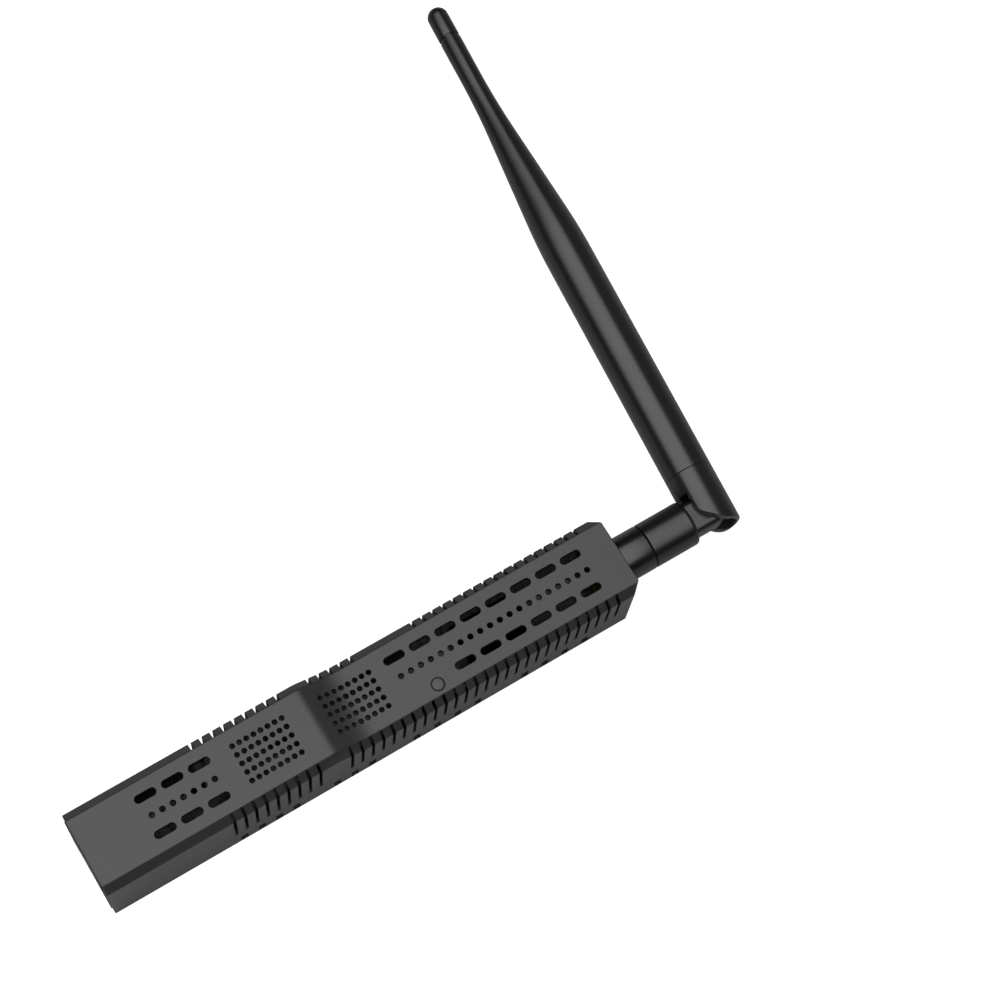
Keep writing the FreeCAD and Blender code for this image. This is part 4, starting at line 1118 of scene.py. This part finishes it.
def lay_rows(name: str, slot: str, unit: Piece, rows: Rows, finish: Finish) -> None:
    """Lay out rows of one small part with the array group, as a piece of the housing.

    Args:
        name: Name of the piece.
        slot: Material slot of the record.
        unit: The small part.
        rows: Where its copies stand.
        finish: Finish of the copies.
    """
    piece = mesh_piece(name, bmesh.new())
    run_group(piece, bpy.data.node_groups.get("part_rows") or array_group(),
              rows.inputs(unit, finish))
    bake(piece)
    fit(piece, Body.HOUSING, slot)


@dataclass
class PortContacts:
    """Rows of gold contacts on both faces of the port's tongue."""

    count: int = 12
    pitch: float = 0.5
    start_x: float = -61.1
    tongue_top: float = 11.615
    tongue_bottom: float = 10.915

    def build(self) -> None:
        """Lay both rows out."""
        unit = mesh_piece("contact", block((0, -0.14, -0.02), (3.6, 0.14, 0.02)))
        first = -(self.count - 1) / 2 * self.pitch
        for label, height in (("upper", self.tongue_top), ("lower", self.tongue_bottom)):
            rows = Rows((self.start_x, first, height), step_y=self.pitch, rows=self.count)
            lay_rows(f"port_contacts_{label}", "gold_brass", unit, rows, GOLD_FLASH)
        discard(unit)


@dataclass
class JackThread:
    """Real thread on the antenna jack, in place of the plain cylinder's look."""

    start: float = 62.0
    length: float = 4.9
    root: float = 2.98
    pitch: float = 0.706

    def build(self) -> None:
        """Wind the ridge round the jack with the thread group."""
        ridge = mesh_piece("jack_thread", bmesh.new())
        run_group(ridge, thread_group(), {
            "Turns": self.length / self.pitch, "Radius": self.root * MM,
            "Length": self.length * MM, "Ridge": 0.18 * MM, "Finish": finish_of(GOLD_FLASH)})
        bake(ridge)
        ridge.data.transform(Matrix.Translation((self.start * MM, 0, 0)) @ JACK)
        fit(ridge, Body.HOUSING, "gold_brass")


@dataclass
class BoardDetails:
    """Tinned ends of the small chips on the board."""

    board_top: float = 9.665
    pitch: float = 2.1
    columns: int = 7
    row_step: float = 2.0

    def build(self) -> None:
        """Lay the ends of the near row and of the two far rows out."""
        cap = mesh_piece("end_cap", block((-0.12, -0.31, 0), (0.12, 0.31, 0.46)))
        for group, y, count in (("", -0.9, 1), ("far_", 2.6, 2)):
            for end, x in (("left", 1.12), ("right", 1.88)):
                rows = Rows((x, y, self.board_top), self.pitch, self.columns, self.row_step, count)
                lay_rows(f"chip_end_caps_{group}{end}", "socket_steel", cap, rows, TINNED_STEEL)
        discard(cap)


# Stage


@dataclass
class Studio:
    """White floor, overhead softbox, dark tent and grey card for the edges, and the camera."""

    floor_size: float = 8.0
    floor_albedo: float = 0.55
    floor_lift: float = 0.8
    floor_height_mm: float = -0.1
    box_size: Point = (2.2, 2.4)
    box_centre: Triple = (-0.50, -0.10, 1.25)
    box_power: float = 39.5
    fill_size: Point = (2.0, 3.0)
    fill_centre: Triple = (1.7, 0.0, 1.1)
    fill_power: float = 3.3
    tent_radius: float = 2.6
    tent_hem: float = 0.02
    card_radius: float = 0.6
    card_height_mm: float = -0.05
    world_dim: float = 0.08
    camera_mm: Triple = (-66.57, -103.95, 507.80)
    focal_px: float = 2504.9
    image_px: int = 1000
    sensor_mm: float = 36.0

    def white_where_seen(self, tree: Tree) -> Socket:
        """Give 1 on camera, glossy and transmission rays.

        Args:
            tree: Tree of the floor or the world.

        Returns:
            The socket with the factor.
        """
        path = add_node(tree, "ShaderNodeLightPath")
        seen = path.outputs["Is Camera Ray"]
        for kind in ("Is Glossy Ray", "Is Transmission Ray"):
            seen = add_node(tree, "ShaderNodeMath", {0: seen, 1: path.outputs[kind]},
                            operation="MAXIMUM").outputs[0]
        return seen

    def stand(self, name: str, mesh: bpy.types.Mesh, material: Material,
              seen: bool = True) -> Piece:
        """Add a piece of the stage.

        Args:
            name: Name of the piece.
            mesh: Its mesh, in metres.
            material: Its only material.
            seen: Whether the camera sees it, and not only reflections.

        Returns:
            The piece.
        """
        sheet = bpy.data.objects.new(name, mesh)
        bpy.context.collection.objects.link(sheet)
        mesh.materials.append(material)
        sheet.visible_camera = seen
        return sheet

    def floor(self) -> None:
        """Lay the pale floor, which clips to white but keeps the object's shadow."""
        mesh = bpy.data.meshes.new("floor")
        half = self.floor_size / 2
        mesh.from_pydata([(x * half, y * half, self.floor_height_mm * MM)
                          for x, y in ((-1, -1), (1, -1), (1, 1), (-1, 1))], [], [(0, 1, 2, 3)])
        material, tree = new_material("white_card")
        card = add_node(tree, "ShaderNodeBsdfDiffuse", {"Color": (*[self.floor_albedo] * 3, 1)})
        lift = add_node(tree, "ShaderNodeMath", {
            0: self.white_where_seen(tree), 1: self.floor_lift}, operation="MULTIPLY")
        glow = add_node(tree, "ShaderNodeEmission", {"Strength": lift.outputs[0]})
        both = add_node(tree, "ShaderNodeAddShader", {
            0: card.outputs["BSDF"], 1: glow.outputs["Emission"]})
        close_material(tree, both.outputs["Shader"])
        material.cycles.emission_sampling = "NONE"
        self.stand("floor", mesh, material)

    def cloth(self, name: str, dark: str, pale: str, kind: str = "BsdfDiffuse") -> Material:
        """Make a woven cloth between two shades.

        Args:
            name: Name of the cloth.
            dark: Shade of the threads' shadows.
            pale: Shade of the threads.
            kind: Shader that shows it; an emission gives a far cloth its dim, even tone.

        Returns:
            The material.
        """
        material, tree = new_material(name)
        weave = add_node(tree, "ShaderNodeTexNoise", {"Scale": 200.0}).outputs["Fac"]
        woven = add_node(tree, "ShaderNode" + kind, {
            "Color": blend(tree, weave, linear(dark), linear(pale))})
        close_material(tree, woven.outputs[0])
        return material

    def tent(self) -> None:
        """Hang a dark tent over the stage, so that edges reflect a dark horizon."""
        built = bmesh.new()
        bmesh.ops.create_uvsphere(built, u_segments=64, v_segments=32, radius=self.tent_radius)
        slice_off(built, (0, 0, self.tent_hem), (0, 0, -1))
        mesh = bpy.data.meshes.new("tent")
        built.to_mesh(mesh)
        built.free()
        cloth = self.cloth("black_tent_cloth", "#0a0a0a", "#121212", "Emission")
        cloth.cycles.emission_sampling = "NONE"
        self.stand("tent", mesh, cloth, seen=False)

    def card(self) -> None:
        """Lay a grey card round the object, seen only in its sides' reflections."""
        built = bmesh.new()
        bmesh.ops.create_circle(built, cap_ends=True, segments=64, radius=self.card_radius)
        bmesh.ops.translate(built, verts=built.verts, vec=(0, 0, self.card_height_mm * MM))
        mesh = bpy.data.meshes.new("card")
        built.to_mesh(mesh)
        built.free()
        card = self.stand("card", mesh, self.cloth("grey_card", "#9c9c9c", "#a6a6a6"), seen=False)
        card.visible_shadow = False

    def lamps(self) -> None:
        """Hang the softbox, stand the weak fill panel beside it and set the world."""
        panels = (("softbox", self.box_size, self.box_centre, self.box_power, 0.0),
                  ("fill_panel", self.fill_size, self.fill_centre, self.fill_power, math.pi / 2))
        for name, size, place, power, turn in panels:
            lamp = bpy.data.lights.new(name, "AREA")
            lamp.shape = "RECTANGLE"
            lamp.size, lamp.size_y = size
            lamp.energy = power
            panel = bpy.data.objects.new(name, lamp)
            panel.location = place
            panel.rotation_euler = (0.0, turn, 0.0)
            bpy.context.collection.objects.link(panel)
        world = bpy.data.worlds.new("studio")
        world.use_nodes = True
        tree = world.node_tree
        tree.nodes.clear()
        strength = add_node(tree, "ShaderNodeMapRange", {
            "Value": self.white_where_seen(tree), "To Min": self.world_dim, "To Max": 1.0})
        sky = add_node(tree, "ShaderNodeBackground", {"Strength": strength.outputs["Result"]})
        add_node(tree, "ShaderNodeOutputWorld", {"Surface": sky.outputs["Background"]})
        world.cycles.sampling_method = "NONE"
        bpy.context.scene.world = world

    def camera(self) -> None:
        """Stand the camera where the photograph was taken from."""
        lens = bpy.data.cameras.new("camera")
        lens.sensor_width = self.sensor_mm
        lens.lens = self.focal_px / self.image_px * self.sensor_mm
        right = Vector((0.85156488, -0.52047198, 0.06281856))
        up = Vector((0.47655356, 0.81845042, 0.32099162))
        back = right.cross(up).normalized()
        turn = Matrix((right, up, back)).transposed().to_4x4()
        viewer = bpy.data.objects.new("camera", lens)
        viewer.matrix_world = Matrix.Translation(Vector(self.camera_mm) * MM) @ turn
        bpy.context.collection.objects.link(viewer)
        bpy.context.scene.camera = viewer

    def build(self) -> None:
        """Set up the whole stage."""
        bpy.context.scene.view_settings.view_transform = "Standard"
        self.floor()
        self.tent()
        self.card()
        self.lamps()
        self.camera()


def dress_frame() -> None:
    """Give every carried-over CAD node its own finish."""
    finishes = {
        "case_plastic": CASE_ABS, "screw_steel": ZINC_STEEL, "dark_plastic": PORT_ABS,
        "board_laminate": BOARD_FR4, "socket_steel": TINNED_STEEL, "chip_resin": CHIP_EPOXY,
        "capacitor_resin": TANTALUM_EPOXY, "chip_ceramic": FIRED_CERAMIC, "led_resin": LAMP_RESIN,
        "gold_brass": GOLD_FLASH, "white_insulator": PTFE, "black_metal": BLACK_CHROME,
        "antenna_plastic": ANTENNA_NYLON, "antenna_rubber": ANTENNA_RUBBER,
        "lead_jacket": LEAD_FEP, "radiator_brass": DRAWN_BRASS}
    made = {slot: finish_of(finish) for slot, finish in finishes.items()}
    for part in frame["record"]["subparts"]:
        node = frame["nodes"][part["node"]]
        node.data.materials.clear()
        # Shield can and crystal take near-black steel as painted shade of the case's dark inside
        painted_shade_node = part["node"] in ("shield_can", "crystal")
        node.data.materials.append(
            finish_of(SHADE_BLACK_STEEL) if painted_shade_node else made[part["material_slot"]])


def main() -> None:
    """Build the studio and the object, in order."""
    logging.basicConfig(level=logging.INFO, format="%(name)s: %(message)s")
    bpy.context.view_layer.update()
    dress_frame()
    Studio().build()
    for assembly in (CaseCover(), CaseFittings(), PortContacts(), JackThread(), BoardDetails(),
                     AntennaPlug(), AntennaRod()):
        log.info("building %s", type(assembly).__name__)
        assembly.build()


if __name__ == "__main__":
    main()
